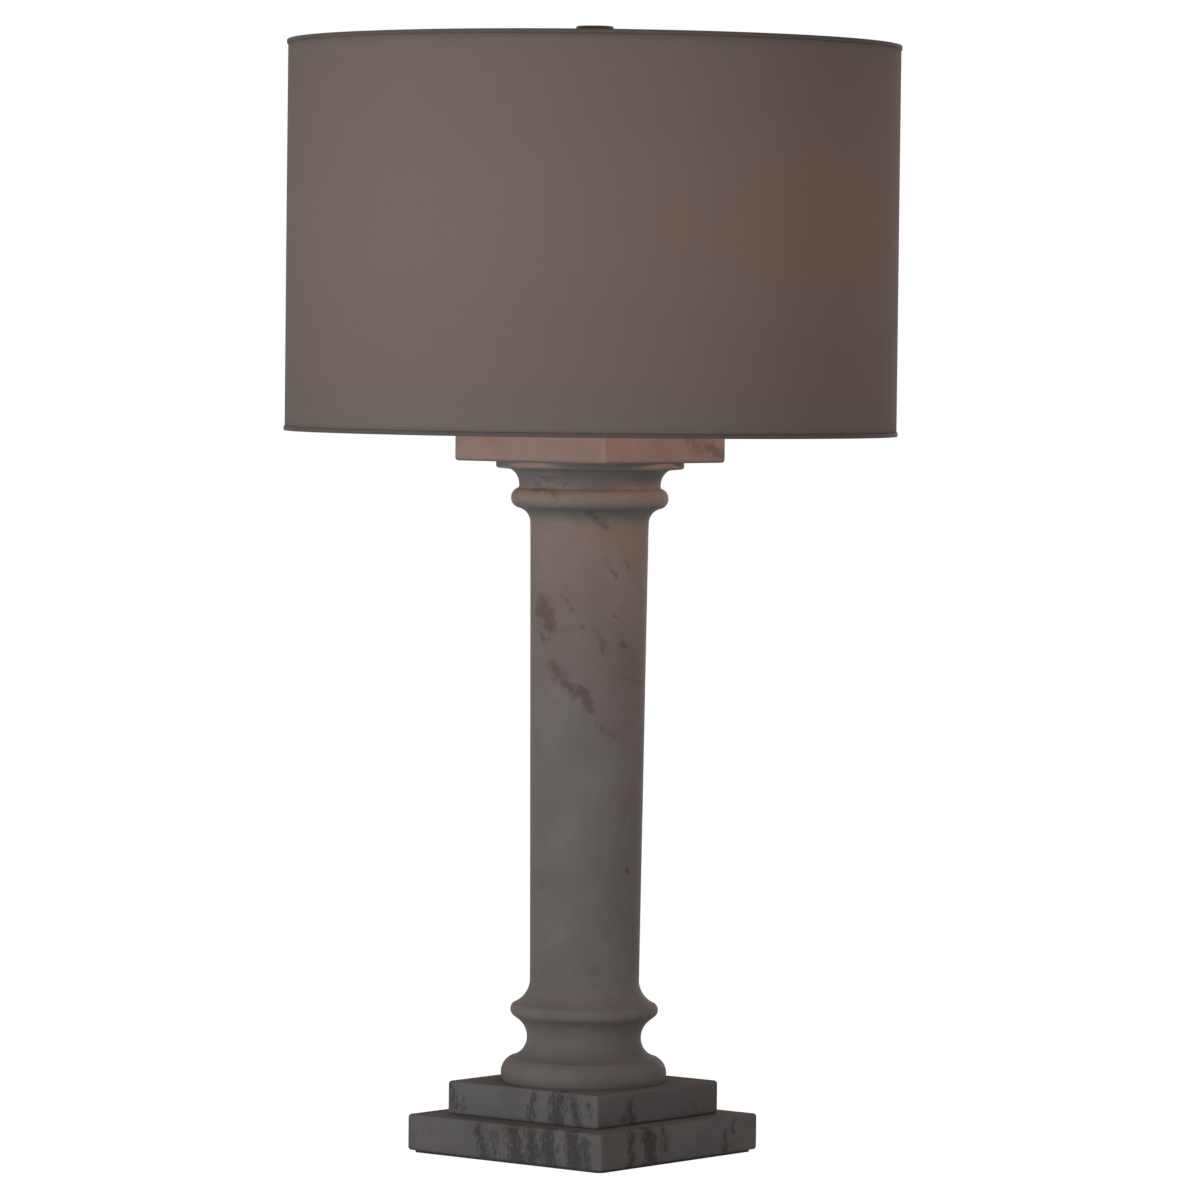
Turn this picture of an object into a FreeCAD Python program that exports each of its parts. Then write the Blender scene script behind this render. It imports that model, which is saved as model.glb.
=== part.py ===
"""Column table lamp: a turned stone column on square plinths, under a fabric drum shade.

Every sub-part is a closed solid of its own, in millimetres, with +Z up. The origin is the
middle of the face that the lamp stands on. +X and -X are the two legs of the harp, -Y is
the side of the switch knob, and +Y is the back, where the cord leaves the base.
"""

import FreeCAD, Part
import math
import os

V = FreeCAD.Vector
UP = V(0, 0, 1)
ORIGIN = V(0, 0, 0)

# ---- stone base and column (levels are heights above the table) -----------------------
FELT_THICKNESS = 1.5
FELT_INSET = 3.0
LOWER_PLINTH_SIDE = 176.5
LOWER_PLINTH_TOP = 27.2
UPPER_PLINTH_SIDE = 136.5
UPPER_PLINTH_TOP = 50.7
ABACUS_SIDE = 136.5
ABACUS_BOTTOM = 489.0
ABACUS_THICKNESS = 23.5
EDGE_EASE = 2.4
STONE_BORE_R = 6.0

# Base mouldings: radius, and height above the upper plinth.
TORUS_FOOT_R = 56.9
TORUS_R, TORUS_RISE = 58.2, 9.3
TORUS_EDGE_R, TORUS_EDGE_RISE = 52.5, 16.6
SCOTIA_R, SCOTIA_RISE = 40.4, 30.9
BASE_BEAD_R, BASE_BEAD_RISE = 52.3, 50.6
BASE_BEAD_LOW_R, BASE_BEAD_LOW_RISE = 50.4, 46.5
BASE_BEAD_TOP_R, BASE_BEAD_TOP_RISE = 50.6, 54.7
SHAFT_FOOT_R, SHAFT_FOOT_RISE = 38.65, 70.3
# Corners where the tangents of the curves between those points meet.
SCOTIA_LOW_CORNER_RISE = 20.6
SCOTIA_HIGH_CORNER_RISE = 38.8
SHAFT_FOOT_CORNER_R, SHAFT_FOOT_CORNER_RISE = 40.15, 58.8

# Capital mouldings: radius, and depth below the abacus.
CAPITAL_R, CAPITAL_LIP = 66.4, 2.9
CAPITAL_UNDER_R, CAPITAL_UNDER_DROP = 64.2, 4.8
CAVETTO_TOP_R, CAVETTO_TOP_DROP = 56.0, 5.6
CAVETTO_R, CAVETTO_DROP = 49.9, 17.0
NECK_BEAD_TOP_R, NECK_BEAD_TOP_DROP = 50.4, 18.6
NECK_BEAD_R, NECK_BEAD_DROP = 55.65, 25.7
NECK_BEAD_LOW_R, NECK_BEAD_LOW_DROP = 50.6, 32.7
SHAFT_HEAD_R, SHAFT_HEAD_DROP = 41.75, 47.5
SHAFT_HEAD_CORNER_R, SHAFT_HEAD_CORNER_DROP = 42.15, 34.2
CAVETTO_CORNER_R, CAVETTO_CORNER_DROP = 50.6, 8.8

# ---- recess under the base, and the cord's way out -------------------------------------
RECESS_R = 24.0
RECESS_TOP = 16.5
CORD_LEVEL = 11.0
CORD_HOLE_R = 5.0
BUSHING_BORE_R = 3.5
BUSHING_FIT = 0.05
BUSHING_BARREL = 12.0
BUSHING_FLANGE_R = 7.0
BUSHING_FLANGE = 1.5

# ---- threaded pipe and the pieces clamped on it -----------------------------------------
PIPE_R = 5.0
PIPE_BORE_R = 3.25
PIPE_BOTTOM = 7.0
PIPE_TOP = 541.0
ON_PIPE_R = 5.05
BIG_WASHER_R = 20.0
BIG_WASHER = 1.5
LOCK_WASHER_R = 8.3
LOCK_WASHER = 1.2
LOCK_WASHER_SPLIT = 1.2
NUT_ACROSS_FLATS = 15.0
NUT_HEIGHT = 4.5
CHECK_RING_R = 22.0
CHECK_RING = 4.0
NECK_TUBE_R = 8.0
HARP_SEAT = 530.0

# ---- harp: saddle, bow, sleeves and swivel ----------------------------------------------
SADDLE_THICKNESS = 1.5
SADDLE_WIDTH = 13.0
SADDLE_FLAT_HALF = 15.0
SADDLE_ARM_HALF = 29.7
SADDLE_SHOULDER = 541.0
SADDLE_TONGUE_TOP = 551.0
TONGUE_WIDTH = 5.0
HARP_HEIGHT = 241.0
HARP_WIRE_R = 1.75
HARP_LEG_X = 33.3
HARP_WIDE_X = 54.0
HARP_KNEE = 576.0
HARP_HIP = 612.0
HARP_BENDS = (25.0, 40.0, 45.0)
HARP_EYE_R = 8.0
HARP_EYE = 2.4
SWIVEL_STEM_R = 2.55
SWIVEL_HOLE_R = 2.6
SWIVEL_COLLAR_R = 6.2
SWIVEL_COLLAR = 2.5
SWIVEL_RIVET_R = 4.5
SWIVEL_RIVET = 1.7
STUD_R = 3.15
STUD_LENGTH = 12.0
SLEEVE_BORE_R = 3.95
SLEEVE_R = 4.9
SLEEVE_LENGTH = 12.0
GAP = 0.3

# ---- lamp socket -------------------------------------------------------------------------
CAP_NECK_R = 6.6
CAP_NECK = 6.0
CAP_R = 17.2
CAP_SHOULDER = 547.0
CAP_TOP = 553.0
CAP_WALL = 0.7
CAP_HAUNCH = 3.5
SET_SCREW_R = 1.4
SET_SCREW_FIT = 0.05
SET_SCREW_SHANK = 3.0
SET_SCREW_HEAD_R = 2.4
SET_SCREW_HEAD = 1.4
SHELL_R = 16.4
SHELL_WALL = 0.5
SHELL_BOTTOM = 548.5
SHELL_TOP = 598.5
SHELL_RIM_R = 17.3
SHELL_RIM = 2.4
SHELL_RIM_EASE = 0.6
INSULATOR_R = 15.7
INSULATOR_WALL = 0.8
INSULATOR_BOTTOM = 554.0
INSULATOR_TOP = 597.0
SOCKET_BODY_R = 14.4
SOCKET_BODY_BOTTOM = 550.0
SOCKET_BODY_TOP = 572.0
SCREW_SHELL_R = 14.0
SCREW_SHELL_WALL = 0.6
SCREW_SHELL_TOP = 595.0
SCREW_SHELL_HOLE_R = 6.0
TERMINAL_FLAT = 11.3
TERMINAL_FLAT_WIDTH = 9.0
TERMINAL_FLAT_BOTTOM = 553.5
TERMINAL_FLAT_HEIGHT = 13.0
TERMINAL_R = 3.0
TERMINAL_HEAD = 2.0
TERMINAL_SLOT = 0.8
CONTACT_R = 4.0
CONTACT_FOOT = 0.6
CONTACT_CROWN_R = 2.5

# ---- rotary switch -----------------------------------------------------------------------
KNOB_LEVEL = 560.0
SPINDLE_R = 2.0
SPINDLE_BORE_R = 2.05
SPINDLE_REACH = 26.0
KNOB_START = 19.0
KNOB_LENGTH = 15.0
KNOB_R = 6.2
KNOB_GRIP_R = 5.6
KNOB_COLLAR = 3.0
KNOB_END_EASE = 0.8
KNOB_FLUTES = 8
KNOB_FLUTE_R = 0.9
KNOB_SLOT_WIDTH = 6.5

# ---- bulb --------------------------------------------------------------------------------
BULB_R = 30.0
BULB_LENGTH = 110.0
BULB_FOOT = 574.3
BULB_BASE_R = 12.95
BULB_BASE_WALL = 0.5
BULB_NECK_R = 12.4
BULB_GLASS = 0.8
BULB_GLASS_FOOT = 592.3
BULB_NECK_TOP = 601.3
BULB_SHOULDER_ANGLE = math.radians(35)
BULB_BASE_FOOT = 579.5
BULB_BASE_FOOT_R = 11.2
BULB_BASE_LIP = 2.0
BULB_BASE_LENGTH = 20.5
BULB_BASE_HOLE_R = 6.0
BULB_INSULATOR_R = 11.0
BULB_INSULATOR_FOOT_R = 5.0
BULB_CONTACT_R = 4.7
BULB_CONTACT = 1.5
BULB_CONTACT_FLAT_R = 2.6

# ---- shade -------------------------------------------------------------------------------
SHADE_DIAMETER = 432.0
SHADE_BOTTOM = 509.0
SHADE_TOP = 783.6
CLOTH = 0.4
LINER = 0.8
BINDING_OUTER_LEG = 3.0
BINDING_INNER_LEG = 4.2
SEAM_LAP = 12.0
RING_WIRE_R = 1.5
RING_FLATS = 6
RING_CLEARANCE = 0.2
SPOKE_COUNT = 3
SPIDER_WASHER_R = 12.0
SPIDER_WASHER = 1.5
SPIDER_HOLE_R = 3.6
SPOKE_BEND_IN = 15.0
SPOKE_BEND_R = 12.0
SPOKE_SLIT = 7.0
SPOKE_OVERLAP = 3.0

# ---- finial ------------------------------------------------------------------------------
FINIAL_TOP = 795.4
FINIAL_DISC_R = 13.35
FINIAL_DISC = 4.0
FINIAL_DISC_EASE = 0.8
FINIAL_STEM_R = 5.2
FINIAL_FOOT = 3.0
FINIAL_WAIST_R = 4.0
FINIAL_BORE_R = 3.2
FINIAL_BORE_SPARE = 1.0

# ---- levels and radii that follow from the above -----------------------------------------
ABACUS_TOP = ABACUS_BOTTOM + ABACUS_THICKNESS
CHECK_RING_TOP = ABACUS_TOP + CHECK_RING
LOCK_NUT_TOP = CHECK_RING_TOP + NUT_HEIGHT
SADDLE_TOP = HARP_SEAT + SADDLE_THICKNESS
HARP_TOP = HARP_SEAT + HARP_HEIGHT
SWIVEL_COLLAR_BOTTOM = HARP_TOP - SWIVEL_COLLAR
EYE_TOP = SWIVEL_COLLAR_BOTTOM - GAP
EYE_BOTTOM = EYE_TOP - HARP_EYE
HARP_WIRE_TOP = (EYE_TOP + EYE_BOTTOM) / 2
SLEEVE_X = (SADDLE_ARM_HALF + HARP_LEG_X + HARP_WIRE_R) / 2
SHADE_R = SHADE_DIAMETER / 2
COVER_R = SHADE_R - CLOTH
LINER_R = COVER_R - CLOTH
LINER_BORE_R = LINER_R - LINER
RING_R = LINER_BORE_R - RING_WIRE_R - RING_CLEARANCE
BINDING_BORE_R = RING_R - RING_WIRE_R - RING_CLEARANCE - CLOTH
RING_INSET = CLOTH + RING_WIRE_R + RING_CLEARANCE / 2
SPIDER_BOTTOM = HARP_TOP + GAP
SPIDER_TOP = SPIDER_BOTTOM + SPIDER_WASHER
BULB_CENTRE = BULB_FOOT + BULB_LENGTH - BULB_R
SHORTEST_RUN = 1e-6


# ---- helpers -----------------------------------------------------------------------------
def rz(point):
    """A point of a half section, given as (radius, height)."""
    return V(point[0], 0, point[1])


def bend_edges(start, corner, end):
    """A moulding curve: the largest arc tangent to both lines of a corner, with what is left of them."""
    arriving = corner - start
    leaving = end - corner
    setback = min(arriving.Length, leaving.Length)
    radius = setback / math.tan(arriving.getAngle(leaving) / 2)
    return bent_path([start, corner, end], [radius]).Edges


def outline_edges(start, steps):
    """The edges of an outline. A step is its end, (middle, end) of an arc, or ("bend", corner, end)."""
    edges = []
    here = start
    for step in steps:
        end = step[-1] if isinstance(step[-1], tuple) else step
        if step[0] == "bend":
            edges.extend(bend_edges(rz(here), rz(step[1]), rz(end)))
        elif isinstance(step[0], tuple):
            edges.append(Part.Arc(rz(here), rz(step[0]), rz(end)).toShape())
        else:
            edges.append(Part.makeLine(rz(here), rz(end)))
        here = end
    edges.append(Part.makeLine(rz(here), rz(start)))
    return edges


def turned(start, *steps):
    """The solid that a half section sweeps out about the lamp's axis."""
    section = Part.Face(Part.Wire(outline_edges(start, steps)))
    return section.revolve(ORIGIN, UP, 360)


def tube(outer, inner, bottom, top):
    """A round tube or washer about the lamp's axis."""
    return turned((inner, bottom), (outer, bottom), (outer, top), (inner, top))


def rod(radius, start, direction, length):
    """A round rod from a point along a direction."""
    return Part.makeCylinder(radius, length, start, direction)


def slab(side, bottom, top):
    """A square slab centred on the lamp's axis."""
    return Part.makeBox(side, side, top - bottom, V(-side / 2, -side / 2, bottom))


def eased(solid, radius):
    """The solid with every edge rounded off."""
    return solid.makeFillet(radius, solid.Edges)


def bored(solid, radius):
    """The solid with a hole along the lamp's axis."""
    box = solid.BoundBox
    return solid.cut(rod(radius, V(0, 0, box.ZMin - 1), UP, box.ZLength + 2))


def hexagon_nut(bottom, height):
    """A hexagon nut about the lamp's axis, with its corners turned off at both ends."""
    corner = NUT_ACROSS_FLATS / math.sqrt(3)
    points = []
    for number in range(7):
        angle = number * math.pi / 3
        points.append(V(corner * math.cos(angle), corner * math.sin(angle), bottom))
    prism = Part.Face(Part.makePolygon(points)).extrude(V(0, 0, height))
    turned_off = corner - NUT_ACROSS_FLATS / 2
    top = bottom + height
    envelope = turned(
        (ON_PIPE_R, bottom),
        (corner - turned_off, bottom),
        (corner, bottom + turned_off / 2),
        (corner, top - turned_off / 2),
        (corner - turned_off, top),
        (ON_PIPE_R, top),
    )
    return prism.common(envelope)


def bent_path(points, radii):
    """Straight runs joined by tangent arcs, one arc of its own radius at each inner point."""
    edges = []
    here = points[0]
    for before, corner, after, radius in zip(points, points[1:], points[2:], radii):
        arriving = (corner - before).normalize()
        leaving = (after - corner).normalize()
        half_turn = arriving.getAngle(leaving) / 2
        setback = radius * math.tan(half_turn)
        inward = (leaving - arriving).normalize()
        middle = corner + inward * (radius / math.cos(half_turn) - radius)
        arc_start = corner - arriving * setback
        arc_end = corner + leaving * setback
        if here.distanceToPoint(arc_start) > SHORTEST_RUN:
            edges.append(Part.makeLine(here, arc_start))
        edges.append(Part.Arc(arc_start, middle, arc_end).toShape())
        here = arc_end
    if here.distanceToPoint(points[-1]) > SHORTEST_RUN:
        edges.append(Part.makeLine(here, points[-1]))
    return Part.Wire(edges)


def wire_along(path, radius):
    """Round wire along a path: a cylinder on each straight run and a piece of a ring on each arc."""
    spans = []
    for edge in path.OrderedEdges:
        start = edge.valueAt(edge.FirstParameter)
        tangent = edge.tangentAt(edge.FirstParameter)
        if edge.Curve.TypeId == "Part::GeomLine":
            spans.append(rod(radius, start, tangent, edge.Length))
        else:
            section = Part.Face(Part.Wire(Part.makeCircle(radius, start, tangent)))
            turn = math.degrees(edge.Length / edge.Curve.Radius)
            spans.append(section.revolve(edge.Curve.Center, edge.Curve.Axis, turn))
    return spans[0].fuse(spans[1:]).removeSplitter()


def mirrored(solid):
    """The same piece on the other side of the lamp, across the YZ plane."""
    return solid.mirror(ORIGIN, V(1, 0, 0))


# ---- stone -------------------------------------------------------------------------------
def felt_pad():
    """Felt glued over the recess, on which the lamp stands."""
    pad = slab(LOWER_PLINTH_SIDE - 2 * FELT_INSET, 0, FELT_THICKNESS)
    uprights = [edge for edge in pad.Edges if edge.BoundBox.ZLength > FELT_THICKNESS / 2]
    return pad.makeFillet(FELT_INSET, uprights)


def lower_plinth():
    """The wide slab, with a round recess underneath and a drilled way out for the cord."""
    stone = eased(slab(LOWER_PLINTH_SIDE, FELT_THICKNESS, LOWER_PLINTH_TOP), EDGE_EASE)
    stone = bored(stone, STONE_BORE_R)
    recess = rod(RECESS_R, ORIGIN, UP, RECESS_TOP)
    cord_hole = rod(CORD_HOLE_R, V(0, 0, CORD_LEVEL), V(0, 1, 0), LOWER_PLINTH_SIDE)
    return stone.cut(recess).cut(cord_hole)


def upper_plinth():
    """The narrower slab that the column stands on."""
    stone = eased(slab(UPPER_PLINTH_SIDE, LOWER_PLINTH_TOP, UPPER_PLINTH_TOP), EDGE_EASE)
    return bored(stone, STONE_BORE_R)


def abacus():
    """The square slab that caps the column."""
    stone = eased(slab(ABACUS_SIDE, ABACUS_BOTTOM, ABACUS_TOP), EDGE_EASE)
    return bored(stone, STONE_BORE_R)


def column():
    """The column, turned in one piece: base mouldings, tapered shaft and capital."""
    foot = UPPER_PLINTH_TOP
    head = ABACUS_BOTTOM
    torus_edge = foot + TORUS_EDGE_RISE
    scotia = foot + SCOTIA_RISE
    bead_low = foot + BASE_BEAD_LOW_RISE
    bead_top = foot + BASE_BEAD_TOP_RISE
    shaft_foot = foot + SHAFT_FOOT_RISE
    neck_low = head - NECK_BEAD_LOW_DROP
    neck_top = head - NECK_BEAD_TOP_DROP
    cavetto_top = head - CAVETTO_TOP_DROP
    under = head - CAPITAL_UNDER_DROP
    return turned(
        (STONE_BORE_R, foot),
        (TORUS_FOOT_R, foot),
        ((TORUS_R, foot + TORUS_RISE), (TORUS_EDGE_R, torus_edge)),
        ("bend", (SCOTIA_R, foot + SCOTIA_LOW_CORNER_RISE), (SCOTIA_R, scotia)),
        ("bend", (SCOTIA_R, foot + SCOTIA_HIGH_CORNER_RISE), (BASE_BEAD_LOW_R, bead_low)),
        ((BASE_BEAD_R, foot + BASE_BEAD_RISE), (BASE_BEAD_TOP_R, bead_top)),
        ("bend", (SHAFT_FOOT_CORNER_R, foot + SHAFT_FOOT_CORNER_RISE), (SHAFT_FOOT_R, shaft_foot)),
        (SHAFT_HEAD_R, head - SHAFT_HEAD_DROP),
        ("bend", (SHAFT_HEAD_CORNER_R, head - SHAFT_HEAD_CORNER_DROP), (NECK_BEAD_LOW_R, neck_low)),
        ((NECK_BEAD_R, head - NECK_BEAD_DROP), (NECK_BEAD_TOP_R, neck_top)),
        (CAVETTO_R, head - CAVETTO_DROP),
        ("bend", (CAVETTO_CORNER_R, head - CAVETTO_CORNER_DROP), (CAVETTO_TOP_R, cavetto_top)),
        (CAPITAL_UNDER_R, under),
        ("bend", (CAPITAL_R, under), (CAPITAL_R, head - CAPITAL_LIP)),
        (CAPITAL_R, head),
        (STONE_BORE_R, head),
    )


# ---- pipe and clamping pieces ------------------------------------------------------------
def tie_rod():
    """The hollow threaded pipe that clamps the stones together and leads the wires up."""
    return tube(PIPE_R, PIPE_BORE_R, PIPE_BOTTOM, PIPE_TOP)


def bottom_washer():
    """The wide washer that bears on the roof of the recess."""
    return tube(BIG_WASHER_R, ON_PIPE_R, RECESS_TOP - BIG_WASHER, RECESS_TOP)


def lock_washer():
    """A split spring washer."""
    top = RECESS_TOP - BIG_WASHER
    washer = tube(LOCK_WASHER_R, ON_PIPE_R, top - LOCK_WASHER, top)
    corner = V(PIPE_BORE_R, -LOCK_WASHER_SPLIT / 2, top - LOCK_WASHER)
    split = Part.makeBox(LOCK_WASHER_R, LOCK_WASHER_SPLIT, LOCK_WASHER, corner)
    return washer.cut(split)


def bottom_nut():
    """The nut under the base, which draws the stones together."""
    return hexagon_nut(RECESS_TOP - BIG_WASHER - LOCK_WASHER - NUT_HEIGHT, NUT_HEIGHT)


def cord_bushing():
    """The flanged bushing in the back of the base, where the cord comes out."""
    back = LOWER_PLINTH_SIDE / 2
    outward = V(0, 1, 0)
    inner_end = V(0, back - BUSHING_BARREL, CORD_LEVEL)
    barrel = rod(CORD_HOLE_R - BUSHING_FIT, inner_end, outward, BUSHING_BARREL)
    flange = rod(BUSHING_FLANGE_R, V(0, back, CORD_LEVEL), outward, BUSHING_FLANGE)
    rim = [edge for edge in flange.Edges if edge.BoundBox.YMin > back + BUSHING_FLANGE / 2]
    flange = flange.makeChamfer(BUSHING_FLANGE / 2, rim)
    bore = rod(BUSHING_BORE_R, inner_end, outward, BUSHING_BARREL + BUSHING_FLANGE)
    return barrel.fuse(flange).cut(bore).removeSplitter()


def check_ring():
    """The turned ring that spreads the lock nut's load over the abacus."""
    step = CHECK_RING / 2
    return turned(
        (ON_PIPE_R, ABACUS_TOP),
        (CHECK_RING_R, ABACUS_TOP),
        (CHECK_RING_R, ABACUS_TOP + step),
        ("bend", (CHECK_RING_R - step, ABACUS_TOP + step), (CHECK_RING_R - 3 * step, CHECK_RING_TOP)),
        (ON_PIPE_R, CHECK_RING_TOP),
    )


def lock_nut():
    """The nut on top of the check ring."""
    return hexagon_nut(CHECK_RING_TOP, NUT_HEIGHT)


def neck_tube():
    """The short tube that lifts the harp and the socket off the lock nut."""
    return tube(NECK_TUBE_R, ON_PIPE_R, LOCK_NUT_TOP, HARP_SEAT)


# ---- harp --------------------------------------------------------------------------------
def harp_saddle():
    """The pressed strip under the socket, with two upright tongues that hold the harp."""
    thickness = SADDLE_THICKNESS
    inner = SADDLE_ARM_HALF
    half_section = [
        V(0, 0, HARP_SEAT),
        V(SADDLE_FLAT_HALF, 0, HARP_SEAT),
        V(inner + thickness, 0, SADDLE_SHOULDER - 2 * thickness),
        V(inner + thickness, 0, SADDLE_SHOULDER),
        V(inner, 0, SADDLE_SHOULDER),
        V(inner, 0, SADDLE_SHOULDER - thickness),
        V(SADDLE_FLAT_HALF - thickness / 2, 0, SADDLE_TOP),
        V(0, 0, SADDLE_TOP),
        V(0, 0, HARP_SEAT),
    ]
    strip = Part.Face(Part.makePolygon(half_section)).extrude(V(0, SADDLE_WIDTH, 0))
    strip.translate(V(0, -SADDLE_WIDTH / 2, 0))
    height = SADDLE_TONGUE_TOP - SADDLE_SHOULDER
    tongue = Part.makeBox(thickness, TONGUE_WIDTH, height, V(inner, -TONGUE_WIDTH / 2, SADDLE_SHOULDER))
    side = strip.fuse(tongue)
    return bored(side.fuse(mirrored(side)).removeSplitter(), ON_PIPE_R)


def harp_bow():
    """The bent wire that carries the shade, with a flattened eye at its top."""
    points = [
        V(HARP_LEG_X, 0, SADDLE_SHOULDER + 0.5),
        V(HARP_LEG_X, 0, HARP_KNEE),
        V(HARP_WIDE_X, 0, HARP_HIP),
        V(HARP_WIDE_X, 0, HARP_WIRE_TOP),
        V(SWIVEL_COLLAR_R + GAP, 0, HARP_WIRE_TOP),
    ]
    leg = wire_along(bent_path(points, HARP_BENDS), HARP_WIRE_R)
    eye = tube(HARP_EYE_R, SWIVEL_HOLE_R, EYE_BOTTOM, EYE_TOP)
    return eye.fuse([leg, mirrored(leg)]).removeSplitter()


def harp_swivel():
    """The stud riveted through the eye, free to turn in it, on which the shade sits."""
    rivet_top = EYE_BOTTOM - GAP
    collar_bottom = SWIVEL_COLLAR_BOTTOM
    stud_top = HARP_TOP + STUD_LENGTH
    return turned(
        (0, rivet_top - SWIVEL_RIVET),
        ("bend", (SWIVEL_RIVET_R, rivet_top - SWIVEL_RIVET), (SWIVEL_RIVET_R, rivet_top)),
        (SWIVEL_STEM_R, rivet_top),
        (SWIVEL_STEM_R, collar_bottom),
        (SWIVEL_COLLAR_R, collar_bottom),
        (SWIVEL_COLLAR_R, HARP_TOP),
        (STUD_R, HARP_TOP),
        (STUD_R, stud_top - 1),
        (STUD_R - 1, stud_top),
        (0, stud_top),
    )


def harp_sleeve(side):
    """The sleeve that slides down over the saddle's tongue and the end of the harp."""
    bottom = SADDLE_SHOULDER + GAP
    sleeve = tube(SLEEVE_R, SLEEVE_BORE_R, bottom, bottom + SLEEVE_LENGTH)
    sleeve.translate(V(side * SLEEVE_X, 0, 0))
    return sleeve


def harp_sleeve_left():
    return harp_sleeve(-1)


def harp_sleeve_right():
    return harp_sleeve(1)


# ---- lamp socket -------------------------------------------------------------------------
def knob_slot(radius, bottom):
    """The space that the switch spindle needs through the socket's wall."""
    half = KNOB_SLOT_WIDTH / 2
    height = KNOB_LEVEL - bottom
    straight = Part.makeBox(KNOB_SLOT_WIDTH, radius, height, V(-half, -radius - 1, bottom))
    return straight.fuse(rod(half, V(0, -radius - 1, KNOB_LEVEL), V(0, 1, 0), radius))


def socket_cap():
    """The pressed cap: a neck screwed on the pipe, and a dome that holds the shell."""
    neck_top = SADDLE_TOP + CAP_NECK
    inner_r = CAP_R - CAP_WALL
    cap = turned(
        (ON_PIPE_R, SADDLE_TOP),
        (CAP_NECK_R, SADDLE_TOP),
        (CAP_NECK_R, neck_top),
        ("bend", (CAP_R, neck_top), (CAP_R, CAP_SHOULDER)),
        (CAP_R, CAP_TOP),
        (inner_r, CAP_TOP),
        (inner_r, CAP_SHOULDER - CAP_HAUNCH),
        (inner_r - CAP_HAUNCH, neck_top + 2 * CAP_WALL),
        (CAP_NECK_R, neck_top + CAP_WALL),
        (ON_PIPE_R, neck_top + CAP_WALL),
    )
    tapped = rod(SET_SCREW_R + SET_SCREW_FIT, V(0, 0, SADDLE_TOP + CAP_NECK / 2), V(0, 1, 0), CAP_R)
    return cap.cut(tapped)


def cap_set_screw():
    """The small screw that locks the cap on the pipe."""
    tip = V(0, PIPE_R + SET_SCREW_FIT, SADDLE_TOP + CAP_NECK / 2)
    outward = V(0, 1, 0)
    shank = rod(SET_SCREW_R, tip, outward, SET_SCREW_SHANK)
    head = rod(SET_SCREW_HEAD_R, tip + outward * SET_SCREW_SHANK, outward, SET_SCREW_HEAD)
    return shank.fuse(head).removeSplitter()


def socket_shell():
    """The brass shell round the socket, with a rolled rim and a slot for the switch."""
    inner = SHELL_R - SHELL_WALL
    shell = turned(
        (inner, SHELL_BOTTOM),
        (SHELL_R, SHELL_BOTTOM),
        (SHELL_R, SHELL_TOP - SHELL_RIM),
        (SHELL_RIM_R, SHELL_TOP - SHELL_RIM + SHELL_RIM_EASE),
        (SHELL_RIM_R, SHELL_TOP - SHELL_RIM_EASE),
        (SHELL_RIM_R - SHELL_RIM_EASE, SHELL_TOP),
        (inner, SHELL_TOP),
    )
    return shell.cut(knob_slot(SHELL_R, SHELL_BOTTOM))


def socket_insulator():
    """The fibre sleeve between the shell and the live parts."""
    sleeve = tube(INSULATOR_R, INSULATOR_R - INSULATOR_WALL, INSULATOR_BOTTOM, INSULATOR_TOP)
    return sleeve.cut(knob_slot(INSULATOR_R, INSULATOR_BOTTOM))


def socket_body():
    """The moulded switch body, with a flat on each side for a terminal screw."""
    body = rod(SOCKET_BODY_R, V(0, 0, SOCKET_BODY_BOTTOM), UP, SOCKET_BODY_TOP - SOCKET_BODY_BOTTOM)
    body = body.cut(rod(SPINDLE_BORE_R, V(0, 1, KNOB_LEVEL), V(0, -1, 0), SOCKET_BODY_R + 1))
    corner = V(TERMINAL_FLAT, -TERMINAL_FLAT_WIDTH / 2, TERMINAL_FLAT_BOTTOM)
    flat = Part.makeBox(SOCKET_BODY_R, TERMINAL_FLAT_WIDTH, TERMINAL_FLAT_HEIGHT, corner)
    return body.cut([flat, mirrored(flat)])


def terminal_screws():
    """The two binding screws that the wires are clamped under."""
    ease = TERMINAL_HEAD / 4
    head = turned(
        (0, 0),
        (TERMINAL_R, 0),
        (TERMINAL_R, TERMINAL_HEAD - ease),
        (TERMINAL_R - ease, TERMINAL_HEAD),
        (0, TERMINAL_HEAD),
    )
    corner = V(-TERMINAL_SLOT / 2, -TERMINAL_R, TERMINAL_HEAD - TERMINAL_SLOT)
    head = head.cut(Part.makeBox(TERMINAL_SLOT, 2 * TERMINAL_R, TERMINAL_SLOT, corner))
    head.rotate(ORIGIN, V(0, 1, 0), 90)
    head.translate(V(TERMINAL_FLAT, 0, TERMINAL_FLAT_BOTTOM + TERMINAL_FLAT_HEIGHT / 2))
    return Part.makeCompound([head, mirrored(head)])


def screw_shell():
    """The metal cup that the bulb screws into."""
    inner = SCREW_SHELL_R - SCREW_SHELL_WALL
    floor = SOCKET_BODY_TOP + SCREW_SHELL_WALL
    return turned(
        (SCREW_SHELL_HOLE_R, SOCKET_BODY_TOP),
        (SCREW_SHELL_R, SOCKET_BODY_TOP),
        (SCREW_SHELL_R, SCREW_SHELL_TOP),
        (inner, SCREW_SHELL_TOP),
        (inner, floor),
        (SCREW_SHELL_HOLE_R, floor),
    )


def centre_contact():
    """The domed contact under the bulb's tip."""
    foot = SOCKET_BODY_TOP
    top = BULB_FOOT - GAP
    return turned(
        (0, foot),
        (CONTACT_R, foot),
        (CONTACT_R, foot + CONTACT_FOOT),
        ("bend", (CONTACT_CROWN_R, top), (0, top)),
    )


# ---- rotary switch -----------------------------------------------------------------------
def switch_spindle():
    """The round spindle that turns in the switch body."""
    return rod(SPINDLE_R, V(0, -0.5, KNOB_LEVEL), V(0, -1, 0), SPINDLE_REACH)


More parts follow.
